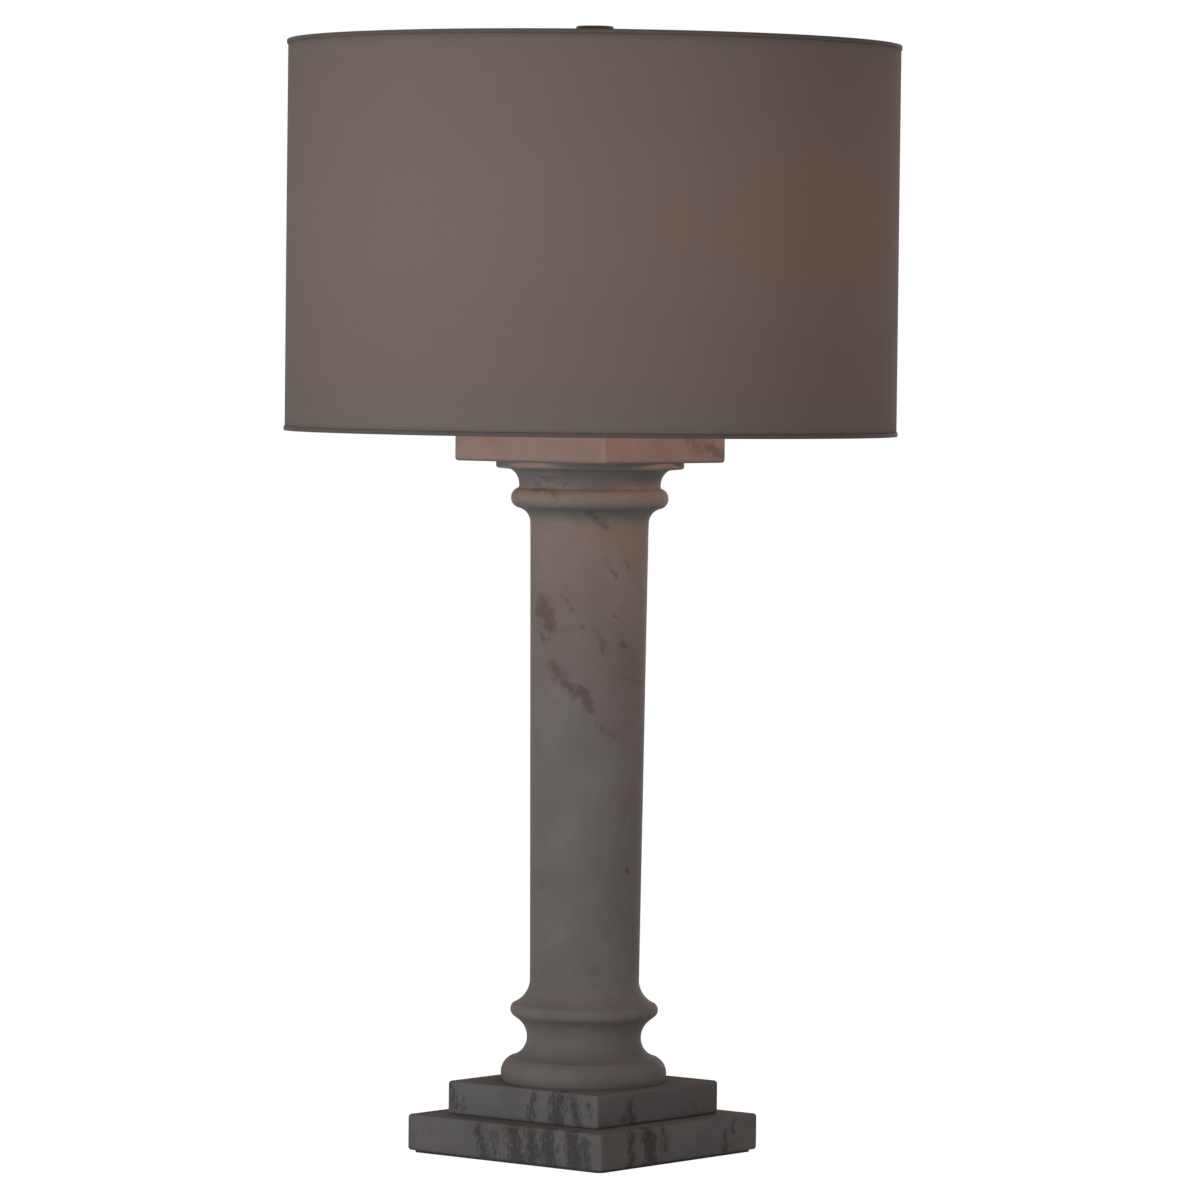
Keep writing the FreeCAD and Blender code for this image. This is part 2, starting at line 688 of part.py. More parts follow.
def switch_knob():
    """The fluted turning knob with its plain collar, pressed on the spindle."""
    grip_start = KNOB_COLLAR
    bore_end = SPINDLE_REACH + 0.5 - KNOB_START
    knob = turned(
        (SPINDLE_R, 0),
        (KNOB_R, 0),
        (KNOB_R, grip_start),
        (KNOB_GRIP_R, grip_start),
        (KNOB_GRIP_R, KNOB_LENGTH - KNOB_END_EASE),
        (KNOB_GRIP_R - KNOB_END_EASE, KNOB_LENGTH),
        (0, KNOB_LENGTH),
        (0, bore_end),
        (SPINDLE_R, bore_end),
    )
    flutes = []
    for number in range(KNOB_FLUTES):
        angle = 2 * math.pi * number / KNOB_FLUTES
        foot = V(KNOB_GRIP_R * math.cos(angle), KNOB_GRIP_R * math.sin(angle), grip_start)
        flutes.append(rod(KNOB_FLUTE_R, foot, UP, KNOB_LENGTH))
    knob = knob.cut(flutes)
    knob.rotate(ORIGIN, V(1, 0, 0), 90)
    knob.translate(V(0, -KNOB_START, KNOB_LEVEL))
    return knob


# ---- bulb --------------------------------------------------------------------------------
def bulb_envelope(radius, neck_r, bottom):
    """A solid of revolution: a ball that runs smoothly into a straight neck."""
    angle = BULB_SHOULDER_ANGLE
    shoulder_r = radius * math.cos(angle)
    shoulder = BULB_CENTRE - radius * math.sin(angle)
    corner = shoulder - (shoulder_r - neck_r) / math.tan(angle)
    return turned(
        (0, bottom),
        (neck_r, bottom),
        (neck_r, BULB_NECK_TOP),
        ("bend", (neck_r, corner), (shoulder_r, shoulder)),
        ((radius, BULB_CENTRE), (0, BULB_CENTRE + radius)),
    )


def bulb_glass():
    """The frosted glass envelope, a thin shell closed at the neck."""
    outside = bulb_envelope(BULB_R, BULB_NECK_R, BULB_GLASS_FOOT)
    inside = bulb_envelope(BULB_R - BULB_GLASS, BULB_NECK_R - BULB_GLASS, BULB_GLASS_FOOT + BULB_GLASS)
    return outside.cut(inside)


def bulb_base():
    """The metal cap of the bulb, which sits in the screw shell."""
    inner = BULB_BASE_R - BULB_BASE_WALL
    foot = BULB_BASE_FOOT
    top = foot + BULB_BASE_LENGTH
    return turned(
        (BULB_BASE_HOLE_R, foot),
        (BULB_BASE_FOOT_R, foot),
        (BULB_BASE_R, foot + BULB_BASE_LIP),
        (BULB_BASE_R, top),
        (inner, top),
        (inner, foot + BULB_BASE_LIP),
        (BULB_BASE_FOOT_R - BULB_BASE_WALL, foot + BULB_BASE_WALL),
        (BULB_BASE_HOLE_R, foot + BULB_BASE_WALL),
    )


def bulb_insulator():
    """The dark glass cone at the foot of the bulb's cap."""
    foot = BULB_FOOT + BULB_CONTACT
    top = BULB_BASE_FOOT
    return turned((0, foot), (BULB_INSULATOR_FOOT_R, foot), (BULB_INSULATOR_R, top), (0, top))


def bulb_contact():
    """The button at the very foot of the bulb."""
    top = BULB_FOOT + BULB_CONTACT
    return turned(
        (0, BULB_FOOT),
        (BULB_CONTACT_FLAT_R, BULB_FOOT),
        ("bend", (BULB_CONTACT_R, BULB_FOOT), (BULB_CONTACT_R, top)),
        (0, top),
    )


# ---- shade -------------------------------------------------------------------------------
def shade_cover():
    """The cloth round the drum, with its seam lapped at the back."""
    cloth = tube(COVER_R, LINER_R, SHADE_BOTTOM + CLOTH, SHADE_TOP - CLOTH)
    lap_bottom = SHADE_BOTTOM + CLOTH + BINDING_OUTER_LEG
    lap_top = SHADE_TOP - CLOTH - BINDING_OUTER_LEG
    lap_angle = math.degrees(SEAM_LAP / SHADE_R)
    corners = [(COVER_R, lap_bottom), (SHADE_R, lap_bottom), (SHADE_R, lap_top), (COVER_R, lap_top)]
    section = Part.Face(Part.makePolygon([rz(point) for point in corners + corners[:1]]))
    lap = section.revolve(ORIGIN, UP, lap_angle)
    lap.rotate(ORIGIN, UP, 90 - lap_angle / 2)
    return cloth.fuse(lap).removeSplitter()


def shade_liner():
    """The stiff sheet that the cloth is laminated on."""
    return tube(LINER_R, LINER_BORE_R, SHADE_BOTTOM + CLOTH, SHADE_TOP - CLOTH)


def binding(edge_level, inward):
    """Cloth tape folded over a rim of the drum. Inward is 1 on the bottom rim, -1 on the top."""
    fold = edge_level + inward * CLOTH
    outer_end = fold + inward * BINDING_OUTER_LEG
    inner_end = fold + inward * BINDING_INNER_LEG
    return turned(
        (SHADE_R, edge_level),
        (SHADE_R, outer_end),
        (COVER_R, outer_end),
        (COVER_R, fold),
        (BINDING_BORE_R + CLOTH, fold),
        (BINDING_BORE_R + CLOTH, inner_end),
        (BINDING_BORE_R, inner_end),
        (BINDING_BORE_R, edge_level),
    )


def spoke_angles():
    """Directions of the spider's spokes, in degrees about +Z from +X."""
    return [90 + number * 360 / SPOKE_COUNT for number in range(SPOKE_COUNT)]


def top_binding():
    """The binding of the top rim, slit where the spokes pass."""
    tape = binding(SHADE_TOP, -1)
    depth = 3 * CLOTH
    height = BINDING_INNER_LEG + depth
    corner = V(BINDING_BORE_R - depth, -SPOKE_SLIT / 2, SHADE_TOP - CLOTH - height)
    for angle in spoke_angles():
        slit = Part.makeBox(2 * depth + CLOTH, SPOKE_SLIT, height, corner)
        slit.rotate(ORIGIN, UP, angle)
        tape = tape.cut(slit)
    return tape


def bottom_binding():
    """The binding of the bottom rim."""
    return binding(SHADE_BOTTOM, 1)


def rim_ring(level):
    """A wire hoop just inside the liner, drawn with flats because the binding hides it."""
    corners = []
    for number in range(RING_FLATS):
        angle = 2 * math.pi * number / RING_FLATS
        corners.append((RING_R + RING_WIRE_R * math.cos(angle), level + RING_WIRE_R * math.sin(angle)))
    return turned(*corners)


def bottom_ring():
    """The hoop in the bottom rim."""
    return rim_ring(SHADE_BOTTOM + RING_INSET)


def top_ring():
    """The hoop in the top rim, which the spokes are welded to."""
    return rim_ring(SHADE_TOP - RING_INSET)


def spider():
    """Three dropped spokes and the washer that sits on the harp, welded together."""
    wire_level = (SPIDER_BOTTOM + SPIDER_TOP) / 2
    points = [
        V(SPIDER_WASHER_R - SPOKE_OVERLAP, 0, wire_level),
        V(RING_R - SPOKE_BEND_IN, 0, wire_level),
        V(RING_R, 0, SHADE_TOP - RING_INSET),
    ]
    spoke = wire_along(bent_path(points, [SPOKE_BEND_R]), RING_WIRE_R)
    spoke = max(spoke.cut(top_ring()).Solids, key=lambda solid: solid.Volume)
    spokes = []
    for angle in spoke_angles():
        turned_spoke = spoke.copy()
        turned_spoke.rotate(ORIGIN, UP, angle)
        spokes.append(turned_spoke)
    washer = tube(SPIDER_WASHER_R, SPIDER_HOLE_R, SPIDER_BOTTOM, SPIDER_TOP)
    return washer.fuse(spokes).removeSplitter()


def finial():
    """The flat-topped turned nut that holds the shade down on the harp."""
    bottom = SPIDER_TOP + GAP
    disc_bottom = FINIAL_TOP - FINIAL_DISC
    bore_top = HARP_TOP + STUD_LENGTH + FINIAL_BORE_SPARE
    waist = (bottom + FINIAL_FOOT + disc_bottom) / 2
    return turned(
        (FINIAL_BORE_R, bottom),
        (FINIAL_STEM_R, bottom),
        (FINIAL_STEM_R, bottom + FINIAL_FOOT),
        ((FINIAL_WAIST_R, waist), (FINIAL_STEM_R, disc_bottom)),
        (FINIAL_DISC_R - FINIAL_DISC_EASE, disc_bottom),
        (FINIAL_DISC_R, disc_bottom + FINIAL_DISC_EASE),
        (FINIAL_DISC_R, FINIAL_TOP - FINIAL_DISC_EASE),
        (FINIAL_DISC_R - FINIAL_DISC_EASE, FINIAL_TOP),
        (0, FINIAL_TOP),
        (0, bore_top),
        (FINIAL_BORE_R, bore_top),
    )


PIECES = [
    felt_pad, lower_plinth, upper_plinth, column, abacus,
    tie_rod, bottom_washer, lock_washer, bottom_nut, cord_bushing,
    check_ring, lock_nut, neck_tube,
    harp_saddle, harp_bow, harp_swivel, harp_sleeve_left, harp_sleeve_right,
    socket_cap, cap_set_screw, socket_shell, socket_insulator, socket_body,
    terminal_screws, screw_shell, centre_contact, switch_spindle, switch_knob,
    bulb_glass, bulb_base, bulb_insulator, bulb_contact,
    shade_cover, shade_liner, top_binding, bottom_binding, top_ring, bottom_ring, spider, finial,
]


def main():
    """Build every piece and write each to its own file, named after the piece."""
    os.makedirs("parts", exist_ok=True)
    for piece in PIECES:
        solid = piece()
        name = piece.__name__
        print(f"{name}: {len(solid.Solids)} solid, valid {solid.isValid()}, {solid.Volume:.1f} mm3")
        solid.exportStep(f"parts/{name}.step")


main()
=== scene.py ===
"""Looks of a column table lamp: turned marble on stepped plinths, under a lit fabric drum shade.

Lengths in the dataclasses are millimetres, as on a drawing, and are turned into metres where a
mesh or a node is made. Heights are above the table, and angles about the lamp's axis are in
degrees, counted from +X towards +Y.
"""

import logging
import math
from collections.abc import Callable
from dataclasses import dataclass
from enum import Enum
from functools import reduce

import bmesh
import bpy
from mathutils import Matrix, Vector


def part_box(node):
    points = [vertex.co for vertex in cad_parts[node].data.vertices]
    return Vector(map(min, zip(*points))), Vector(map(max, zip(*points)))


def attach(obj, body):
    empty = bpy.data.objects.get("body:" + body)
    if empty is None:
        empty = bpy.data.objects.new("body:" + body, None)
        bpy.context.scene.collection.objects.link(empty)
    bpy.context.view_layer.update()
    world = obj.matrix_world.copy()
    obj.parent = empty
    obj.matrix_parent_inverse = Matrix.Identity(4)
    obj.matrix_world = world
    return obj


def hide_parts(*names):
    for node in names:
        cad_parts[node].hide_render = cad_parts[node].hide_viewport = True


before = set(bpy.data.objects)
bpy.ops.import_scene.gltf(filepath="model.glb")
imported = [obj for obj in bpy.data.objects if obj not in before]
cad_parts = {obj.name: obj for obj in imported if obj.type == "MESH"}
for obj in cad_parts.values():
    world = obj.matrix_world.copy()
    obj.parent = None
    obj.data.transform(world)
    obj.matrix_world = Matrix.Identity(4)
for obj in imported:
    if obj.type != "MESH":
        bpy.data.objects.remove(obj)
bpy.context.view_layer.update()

MM = 0.001
log = logging.getLogger("column_lamp")

Colour = tuple[float, float, float]
Point = tuple[float, float, float]
Span = tuple[float, float]
Profile = list[tuple[float, float]]
Vein = tuple[float, float, float, float, float, float]

BLACK = (0.0, 0.0, 0.0)
WHITE = (1.0, 1.0, 1.0)
UNSHIFTED = (0.0, 0.0, 0.0)
UNSTRETCHED = (1.0, 1.0, 1.0)


def polar(radius: float, angle: float, height: float) -> Point:
    """A point at a distance from the lamp's axis, an angle in degrees and a height."""
    turn = math.radians(angle)
    return (radius * math.cos(turn), radius * math.sin(turn), height)


# ---- shader expressions ------------------------------------------------------------------
class Value:
    """An output socket of a material, used in expressions."""

    def __init__(self, shader: "Shader", socket: bpy.types.NodeSocket) -> None:
        """Wrap a socket of a shader."""
        self.shader = shader
        self.socket = socket


class Number(Value):
    """A socket that carries one number. Its operators add Math nodes to the material."""

    def apply(self, operation: str, *others: "Number | float", first: bool = True) -> "Number":
        """Add one Math node.

        Args:
            operation: The node's operation.
            others: The other values that go in.
            first: Whether this number is the first of the values, and not the last.

        Returns:
            The result.
        """
        values = [self, *others] if first else [*others, self]
        node = self.shader.node("Math", {"operation": operation}, dict(enumerate(values)))
        return Number(self.shader, node.outputs[0])

    def __add__(self, other: "Number | float") -> "Number":
        """This plus another."""
        return self.apply("ADD", other)

    def __radd__(self, other: float) -> "Number":
        """Another plus this."""
        return self.apply("ADD", other, first=False)

    def __sub__(self, other: "Number | float") -> "Number":
        """This less another."""
        return self.apply("SUBTRACT", other)

    def __rsub__(self, other: float) -> "Number":
        """Another less this."""
        return self.apply("SUBTRACT", other, first=False)

    def __mul__(self, other: "Number | float") -> "Number":
        """This times another."""
        return self.apply("MULTIPLY", other)

    def __rmul__(self, other: float) -> "Number":
        """Another times this."""
        return self.apply("MULTIPLY", other, first=False)

    def __abs__(self) -> "Number":
        """The size of this, without its sign."""
        return self.apply("ABSOLUTE")

    def sine(self) -> "Number":
        """The sine of this, in radians."""
        return self.apply("SINE")

    def least(self, other: "Number | float") -> "Number":
        """The smaller of this and another."""
        return self.apply("MINIMUM", other)

    def most(self, other: "Number | float") -> "Number":
        """The larger of this and another."""
        return self.apply("MAXIMUM", other)

    def step(self, low: float, high: float) -> "Number":
        """A smooth step on this number.

        Args:
            low: Where the step starts.
            high: Where it ends; it may be the smaller of the two, for a falling step.

        Returns:
            0 before the step, 1 after it.
        """
        ends = {"From Min": min(low, high), "From Max": max(low, high)}
        ends |= {"To Min": float(low > high), "To Max": float(low < high)}
        settings = {"interpolation_type": "SMOOTHSTEP", "clamp": True}
        node = self.shader.node("MapRange", settings, {"Value": self} | ends)
        return Number(self.shader, node.outputs["Result"])


class Arrow(Value):
    """A socket that carries a vector. Its operators add Vector Math nodes to the material."""

    def apply(self, operation: str, *others: "Arrow | Point") -> bpy.types.Node:
        """Add one Vector Math node, with this vector first among its values."""
        values = dict(enumerate([self, *others]))
        return self.shader.node("VectorMath", {"operation": operation}, values)

    def __add__(self, other: "Arrow | Point") -> "Arrow":
        """This plus another."""
        return Arrow(self.shader, self.apply("ADD", other).outputs[0])

    def __sub__(self, other: "Arrow | Point") -> "Arrow":
        """This less another."""
        return Arrow(self.shader, self.apply("SUBTRACT", other).outputs[0])

    def __mul__(self, other: Point) -> "Arrow":
        """This times another, axis by axis."""
        return Arrow(self.shader, self.apply("MULTIPLY", other).outputs[0])

    def scaled(self, amount: "Number | float") -> "Arrow":
        """This vector made longer or shorter.

        Args:
            amount: How many times as long it becomes.

        Returns:
            The vector.
        """
        values = {"Vector": self, "Scale": amount}
        node = self.shader.node("VectorMath", {"operation": "SCALE"}, values)
        return Arrow(self.shader, node.outputs[0])

    def dot(self, other: Point) -> Number:
        """The dot product with another."""
        return Number(self.shader, self.apply("DOT_PRODUCT", other).outputs["Value"])

    def length(self) -> Number:
        """The length of this vector."""
        return Number(self.shader, self.apply("LENGTH").outputs["Value"])

    def axes(self) -> list[Number]:
        """The three coordinates."""
        node = self.shader.node("SeparateXYZ", {}, {0: self})
        return [Number(self.shader, socket) for socket in node.outputs]


class Nodes:
    """The node tree of a material or a world."""

    def __init__(self, owner: bpy.types.Material | bpy.types.World) -> None:
        """Start with the owner's tree, emptied.

        Args:
            owner: The material or world.
        """
        owner.use_nodes = True
        self.tree = owner.node_tree
        self.tree.nodes.clear()

    def node(
        self, kind: str, settings: dict | None = None, inputs: dict | None = None
    ) -> bpy.types.Node:
        """Add one node.

        Args:
            kind: The node's type, without its prefix.
            settings: The node's own settings, which are set first.
            inputs: Its sockets by name or number, each with a value, a socket or an expression.

        Returns:
            The node.
        """
        node = self.tree.nodes.new("ShaderNode" + kind)
        for key, value in (settings or {}).items():
            setattr(node, key, value)
        for key, value in (inputs or {}).items():
            self.feed(node.inputs[key], value)
        return node

    def feed(self, socket: bpy.types.NodeSocket, value: object) -> None:
        """Link or set one input.

        Args:
            socket: The input.
            value: An expression, a socket, a number, a vector or a colour.
        """
        if isinstance(value, Value):
            value = value.socket
        if isinstance(value, bpy.types.NodeSocket):
            self.tree.links.new(value, socket)
        elif socket.type == "RGBA" and len(value) == 3:
            socket.default_value = (*value, 1.0)
        else:
            socket.default_value = value

    def mix(self, share: object, under: object, over: object) -> bpy.types.NodeSocket:
        """Mix two shaders, by the share of the second."""
        return self.node("MixShader", {}, {0: share, 1: under, 2: over}).outputs[0]


class Shader(Nodes):
    """A material with one surface shader, built up by expressions."""

    def __init__(self, name: str) -> None:
        """Start a material with a Principled surface.

        Args:
            name: The material's name.
        """
        self.material = bpy.data.materials.new(name)
        super().__init__(self.material)
        self.surface = self.node("BsdfPrincipled")
        self.node("OutputMaterial", {"target": "ALL"}, {"Surface": self.surface.outputs[0]})

    def place(self) -> Arrow:
        """Where a point is on the lamp, in metres."""
        return Arrow(self, self.node("TexCoord").outputs["Object"])

    def cut(self) -> Arrow:
        """Where a point is on the flat cloth, in metres along its width and its height."""
        return Arrow(self, self.node("UVMap", {"uv_map": Sheet.FLAT_MAP}).outputs[0])

    def warp(self, at: Arrow, size: float, amount: float) -> Arrow:
        """Move a place about by noise, so that what is drawn there has a ragged outline.

        Args:
            at: The place.
            size: The size of the noise, in millimetres.
            amount: How far it moves a point, in millimetres.

        Returns:
            The moved place.
        """
        inputs = {"Vector": at, "Scale": 1 / (size * MM), "Detail": 3.0}
        noise = Arrow(self, self.node("TexNoise", {}, inputs).outputs[1])
        return at + (noise - (0.5, 0.5, 0.5)).scaled(2 * amount * MM)

    def blend(self, share: Number, under: object, over: object) -> bpy.types.NodeSocket:
        """Lay one colour over another, by the share of the upper one."""
        colours = {"Factor": share, 6: under, 7: over}
        return self.node("Mix", {"data_type": "RGBA"}, colours).outputs[2]

    def relief(self, height: Number, depth: float) -> None:
        """Raise the surface by a number from 0 to 1, with 1 at a depth in millimetres."""
        bump = self.node("Bump", {}, {"Height": height, "Distance": depth * MM, "Strength": 1.0})
        self.set(Normal=bump.outputs[0])

    def set(self, **values: object) -> None:
        """Set inputs of the surface shader, with underscores for the spaces in their names."""
        for key, value in values.items():
            self.feed(self.surface.inputs[key.replace("_", " ")], value)


@dataclass(frozen=True)
class Noise:
    """Soft noise about 0.5, which other noise may have moved about. Sizes are millimetres."""

    size: float
    detail: float = 4.0
    rough: float = 0.6
    warp_size: float = 1.0
    warp: float = 0.0
    shift: Point = UNSHIFTED

    def draw(self, shader: Shader, at: Arrow) -> Number:
        """Add the noise to a material.

        Args:
            shader: The material.
            at: Where the noise is read.

        Returns:
            The noise.
        """
        if any(self.shift):
            at = at + self.shift
        if self.warp:
            at = shader.warp(at, self.warp_size, self.warp)
        inputs = {"Vector": at, "Scale": 1 / (self.size * MM)}
        inputs |= {"Detail": self.detail, "Roughness": self.rough}
        return Number(shader, shader.node("TexNoise", {}, inputs).outputs[0])


# ---- finishes ----------------------------------------------------------------------------
@dataclass(frozen=True)
class Finish:
    """What every finish has: a name, a colour and a constant gloss."""

    name: str
    colour: Colour
    roughness: float
    specular: float

    def make(self) -> bpy.types.Material:
        """Make the material.

        Returns:
            The material.
        """
        shader = Shader(self.name)
        shader.set(Base_Color=self.colour, Roughness=self.roughness)
        shader.set(Specular_IOR_Level=self.specular)
        self.shade(shader)
        return shader.material

    def shade(self, shader: Shader) -> None:
        """Add the finish's own pattern."""
        raise NotImplementedError


@dataclass(frozen=True)
class Streak:
    """A dark vein or patch in the stone, from one place to another."""

    start: Point
    end: Point
    width: float
    strength: float

    def mask(self, shader: Shader, at: Arrow) -> Number:
        """How deep a place lies in the vein.

        Args:
            shader: The stone's shader.
            at: The place, already warped.

        Returns:
            The strength on the vein's middle line, falling to 0 at its half width.
        """
        start = Vector(self.start) * MM
        run = Vector(self.end) * MM - start
        offset = at - tuple(start)
        along = (offset.dot(tuple(run)) * (1 / run.length_squared)).most(0.0).least(1.0)
        axis = shader.node("CombineXYZ", {}, dict(enumerate(run)))
        away = offset - Arrow(shader, axis.outputs[0]).scaled(along)
        return (away.length() * (-1 / (self.width * MM)) + 1.0).most(0.0) * self.strength


@dataclass(frozen=True)
class Slab:
    """A square stone's box, in metres as the model gives it, for the rubbing and painted highlight
    along its edges.
    """

    low: Vector
    high: Vector
    reach: float = 2.6

    def edge(self, at: Arrow) -> Number:
        """How near a place is to an edge of the slab.

        Args:
            at: The place.

        Returns:
            1 on an edge, 0 beyond the reach.
        """
        x, y, z = at.axes()
        from_x = self.high.x - abs(x)
        from_y = self.high.x - abs(y)
        from_z = (self.high.z - z).least(z - self.low.z)
        second = from_x.least(from_y).most(from_x.most(from_y).least(from_z))
        return second.step(self.reach * MM, 0.0)


@dataclass(frozen=True)
class Stone(Finish):
    """Honed warm grey marble with ragged dark veins."""

    streaks: tuple[Streak, ...]
    slab: Slab | None = None
    rust: tuple[Point, ...] = ()
    grain: Point = UNSTRETCHED
    strand: float = 4.5
    strand_shift: Point = (0.7, 0.1, 0.4)
    ragged: float = 2.6
    darkest: float = 0.62
    hazy: float = 0.16
    warm: Colour = (0.128, 0.099, 0.088)
    pale: Colour = (0.136, 0.129, 0.123)
    vein: Colour = (0.045, 0.042, 0.042)
    rusty: Colour = (0.105, 0.040, 0.022)
    rust_warp: Span = (3.0, 0.7)
    rust_span: Span = (3.6, 0.8)
    rust_share: float = 0.75
    clouds: Noise = Noise(46, 4.0, 0.62, 60, 18)
    cloud_span: Span = (0.36, 0.68)
    tints: Noise = Noise(38, 5.0, 0.66, 34, 14, (0.31, 0.17, 0.05))
    tint_span: Span = (0.46, 0.70)
    tint_share: float = 0.75
    dusk: Noise = Noise(17, 5.0, 0.68, 30, 12, (0.5, 0.9, 0.2))
    dusk_span: Span = (0.56, 0.74)
    dusk_tints: Span = (0.42, 0.58)
    fine: Noise = Noise(3.4, 5.0, 0.7)
    pits: Noise = Noise(0.9)
    pit_share: float = 0.6
    pit_depth: float = 0.10
    vein_warps: tuple[Span, Span] = ((11, 3.2), (2.4, 1.0))
    vein_rise: float = 1.6
    vein_floor: float = 0.40
    vein_span: Span = (0.0, 0.9)
    vein_edge: Span = (0.0, 0.45)
    rub_and_highlight_span: Span = (0.40, 0.62)
    rub_and_highlight_share: float = 0.5
    rub_and_highlight_least: float = 0.35
    fine_gloss: float = 0.14
    vein_gloss: float = 0.06

    def shade(self, shader: Shader) -> None:
        """Mottled ground, faint brown tints, veins, edges lightened by rubbing and a painted
        highlight, and a fine grain.

        Args:
            shader: The stone's shader.
        """
        at = shader.place()
        cloud = self.clouds.draw(shader, at)
        tint = self.tints.draw(shader, at)
        fine = self.fine.draw(shader, at * self.grain)
        ink = self.ink(shader, at)
        colour = shader.blend(cloud.step(*self.cloud_span), self.colour, self.pale)
        colour = shader.blend(tint.step(*self.tint_span) * self.tint_share, colour, self.warm)
        dusk = self.dusk.draw(shader, at).step(*self.dusk_span)
        haze = dusk * tint.step(*self.dusk_tints) * self.hazy
        colour = shader.blend(ink.most(haze), colour, self.vein)
        outer, inner = self.rust_span
        for spot in self.rust:
            away = (shader.warp(at, *self.rust_warp) - tuple(Vector(spot) * MM)).length()
            near = away.step(outer * MM, inner * MM) * self.rust_share
            colour = shader.blend(near, colour, self.rusty)
        # Every edge is lightened towards the pale colour: partly rubbing, partly a painted highlight.
        if self.slab:
            edge_patchiness = self.rub_and_highlight_least + fine.step(*self.rub_and_highlight_span) * (1 - self.rub_and_highlight_least)
            rubbed_and_highlit_edge = self.slab.edge(at) * edge_patchiness * self.rub_and_highlight_share
            colour = shader.blend(rubbed_and_highlit_edge, colour, self.pale)
        gloss = (fine - 0.5) * self.fine_gloss + ink * self.vein_gloss
        shader.set(Base_Color=colour, Roughness=self.roughness + gloss)
        pits = self.pits.draw(shader, at) * self.pit_share + cloud * (1 - self.pit_share)
        shader.relief(pits, self.pit_depth)

    def ink(self, shader: Shader, at: Arrow) -> Number:
        """How much of the veins' colour a place has.

        Args:
            shader: The stone's shader.
            at: The place.

        Returns:
            A share from 0 to the darkest.
        """
        ragged = at
        for size, amount in self.vein_warps:
            ragged = shader.warp(ragged, size, amount)
        depth = reduce(Number.most, [streak.mask(shader, ragged) for streak in self.streaks])
        strands = Noise(self.strand, detail=6.0, rough=0.72, shift=self.strand_shift)
        smoke = strands.draw(shader, at * self.grain)
        ink = depth * self.vein_rise + (smoke - 0.5) * self.ragged - self.vein_floor
        return ink.step(*self.vein_span) * depth.step(*self.vein_edge) * self.darkest


@dataclass(frozen=True)
class Weave(Finish):
    """Fine plain-weave cloth, with slubs along its threads and a few specks."""

    pitch: float = 0.46
    deep: Colour = (0.120, 0.102, 0.093)
    speck: Colour = (0.045, 0.036, 0.032)
    glow: Colour = BLACK
    glow_height: float = 655.0
    glow_reach: float = 195.0
    thread_depth: float = 0.03
    slubs: Noise = Noise(1.1)
    slub_grain: Point = (0.10, 1.0, 1.0)
    ribs: Noise = Noise(1.3)
    rib_grain: Point = (1.0, 0.07, 1.0)
    slub_share: float = 0.55
    broad: Noise = Noise(80, 2.0, 0.5)
    broad_grain: Point = (1.0, 0.35, 1.0)
    broad_span: Span = (0.35, 0.70)
    broad_share: float = 0.10
    weave_share: float = 0.05
    yarn_span: Span = (0.30, 0.70)
    yarn_share: float = 0.34
    dots: Noise = Noise(2.6, 1.0, 0.4, shift=(0.4, 0.2, 0.0))
    dot_grain: Point = (0.6, 1.0, 1.0)
    dot_span: Span = (0.80, 0.83)
    dot_share: float = 0.7
    yarn_gloss: float = 0.12
    broad_light: float = 0.4
    slub_light: float = 0.3

    def shade(self, shader: Shader) -> None:
        """Threads that cross over and under, uneven yarn, specks, and a painted glow of the lamplight
        that seeps through.

        Args:
            shader: The cloth's shader.
        """
        flat = shader.cut()
        across, up, _ = flat.axes()
        turn = 2 * math.pi / (self.pitch * MM)
        weave = ((up * turn).sine() * (across * turn).sine()) * 0.5 + 0.5
        slub = self.slubs.draw(shader, flat * self.slub_grain)
        rib = self.ribs.draw(shader, flat * self.rib_grain)
        broad = self.broad.draw(shader, flat * self.broad_grain)
        dots = self.dots.draw(shader, flat * self.dot_grain)
        yarn = slub * self.slub_share + rib * (1 - self.slub_share)
        thick = yarn.step(*self.yarn_span) * self.yarn_share + (1 - self.yarn_share)
        colour = shader.blend(thick, self.deep, self.colour)
        dim = (broad.step(*self.broad_span) * self.broad_share).most(weave * self.weave_share)
        colour = shader.blend(dim, colour, self.deep)
        colour = shader.blend(dots.step(*self.dot_span) * self.dot_share, colour, self.speck)
        roughness = self.roughness + (yarn - 0.5) * self.yarn_gloss
        shader.set(Base_Color=colour, Roughness=roughness)
        # Painted glow: emission on the cloth, strongest at the bulb's height, stands in for the
        # bulb's light showing through it.
        if any(self.glow):
            height = shader.place().axes()[2]
            near = abs(height - self.glow_height * MM).step(self.glow_reach * MM, 0.0)
            near = near * (1 - self.broad_light / 2 + broad * self.broad_light)
            light = near * (1 - self.slub_light / 2 + slub * self.slub_light)
            shader.set(Emission_Color=shader.blend(light.least(1.0), BLACK, self.glow))
            shader.set(Emission_Strength=1.0)
        shader.relief(weave * 0.5 + yarn * 0.5, self.thread_depth)


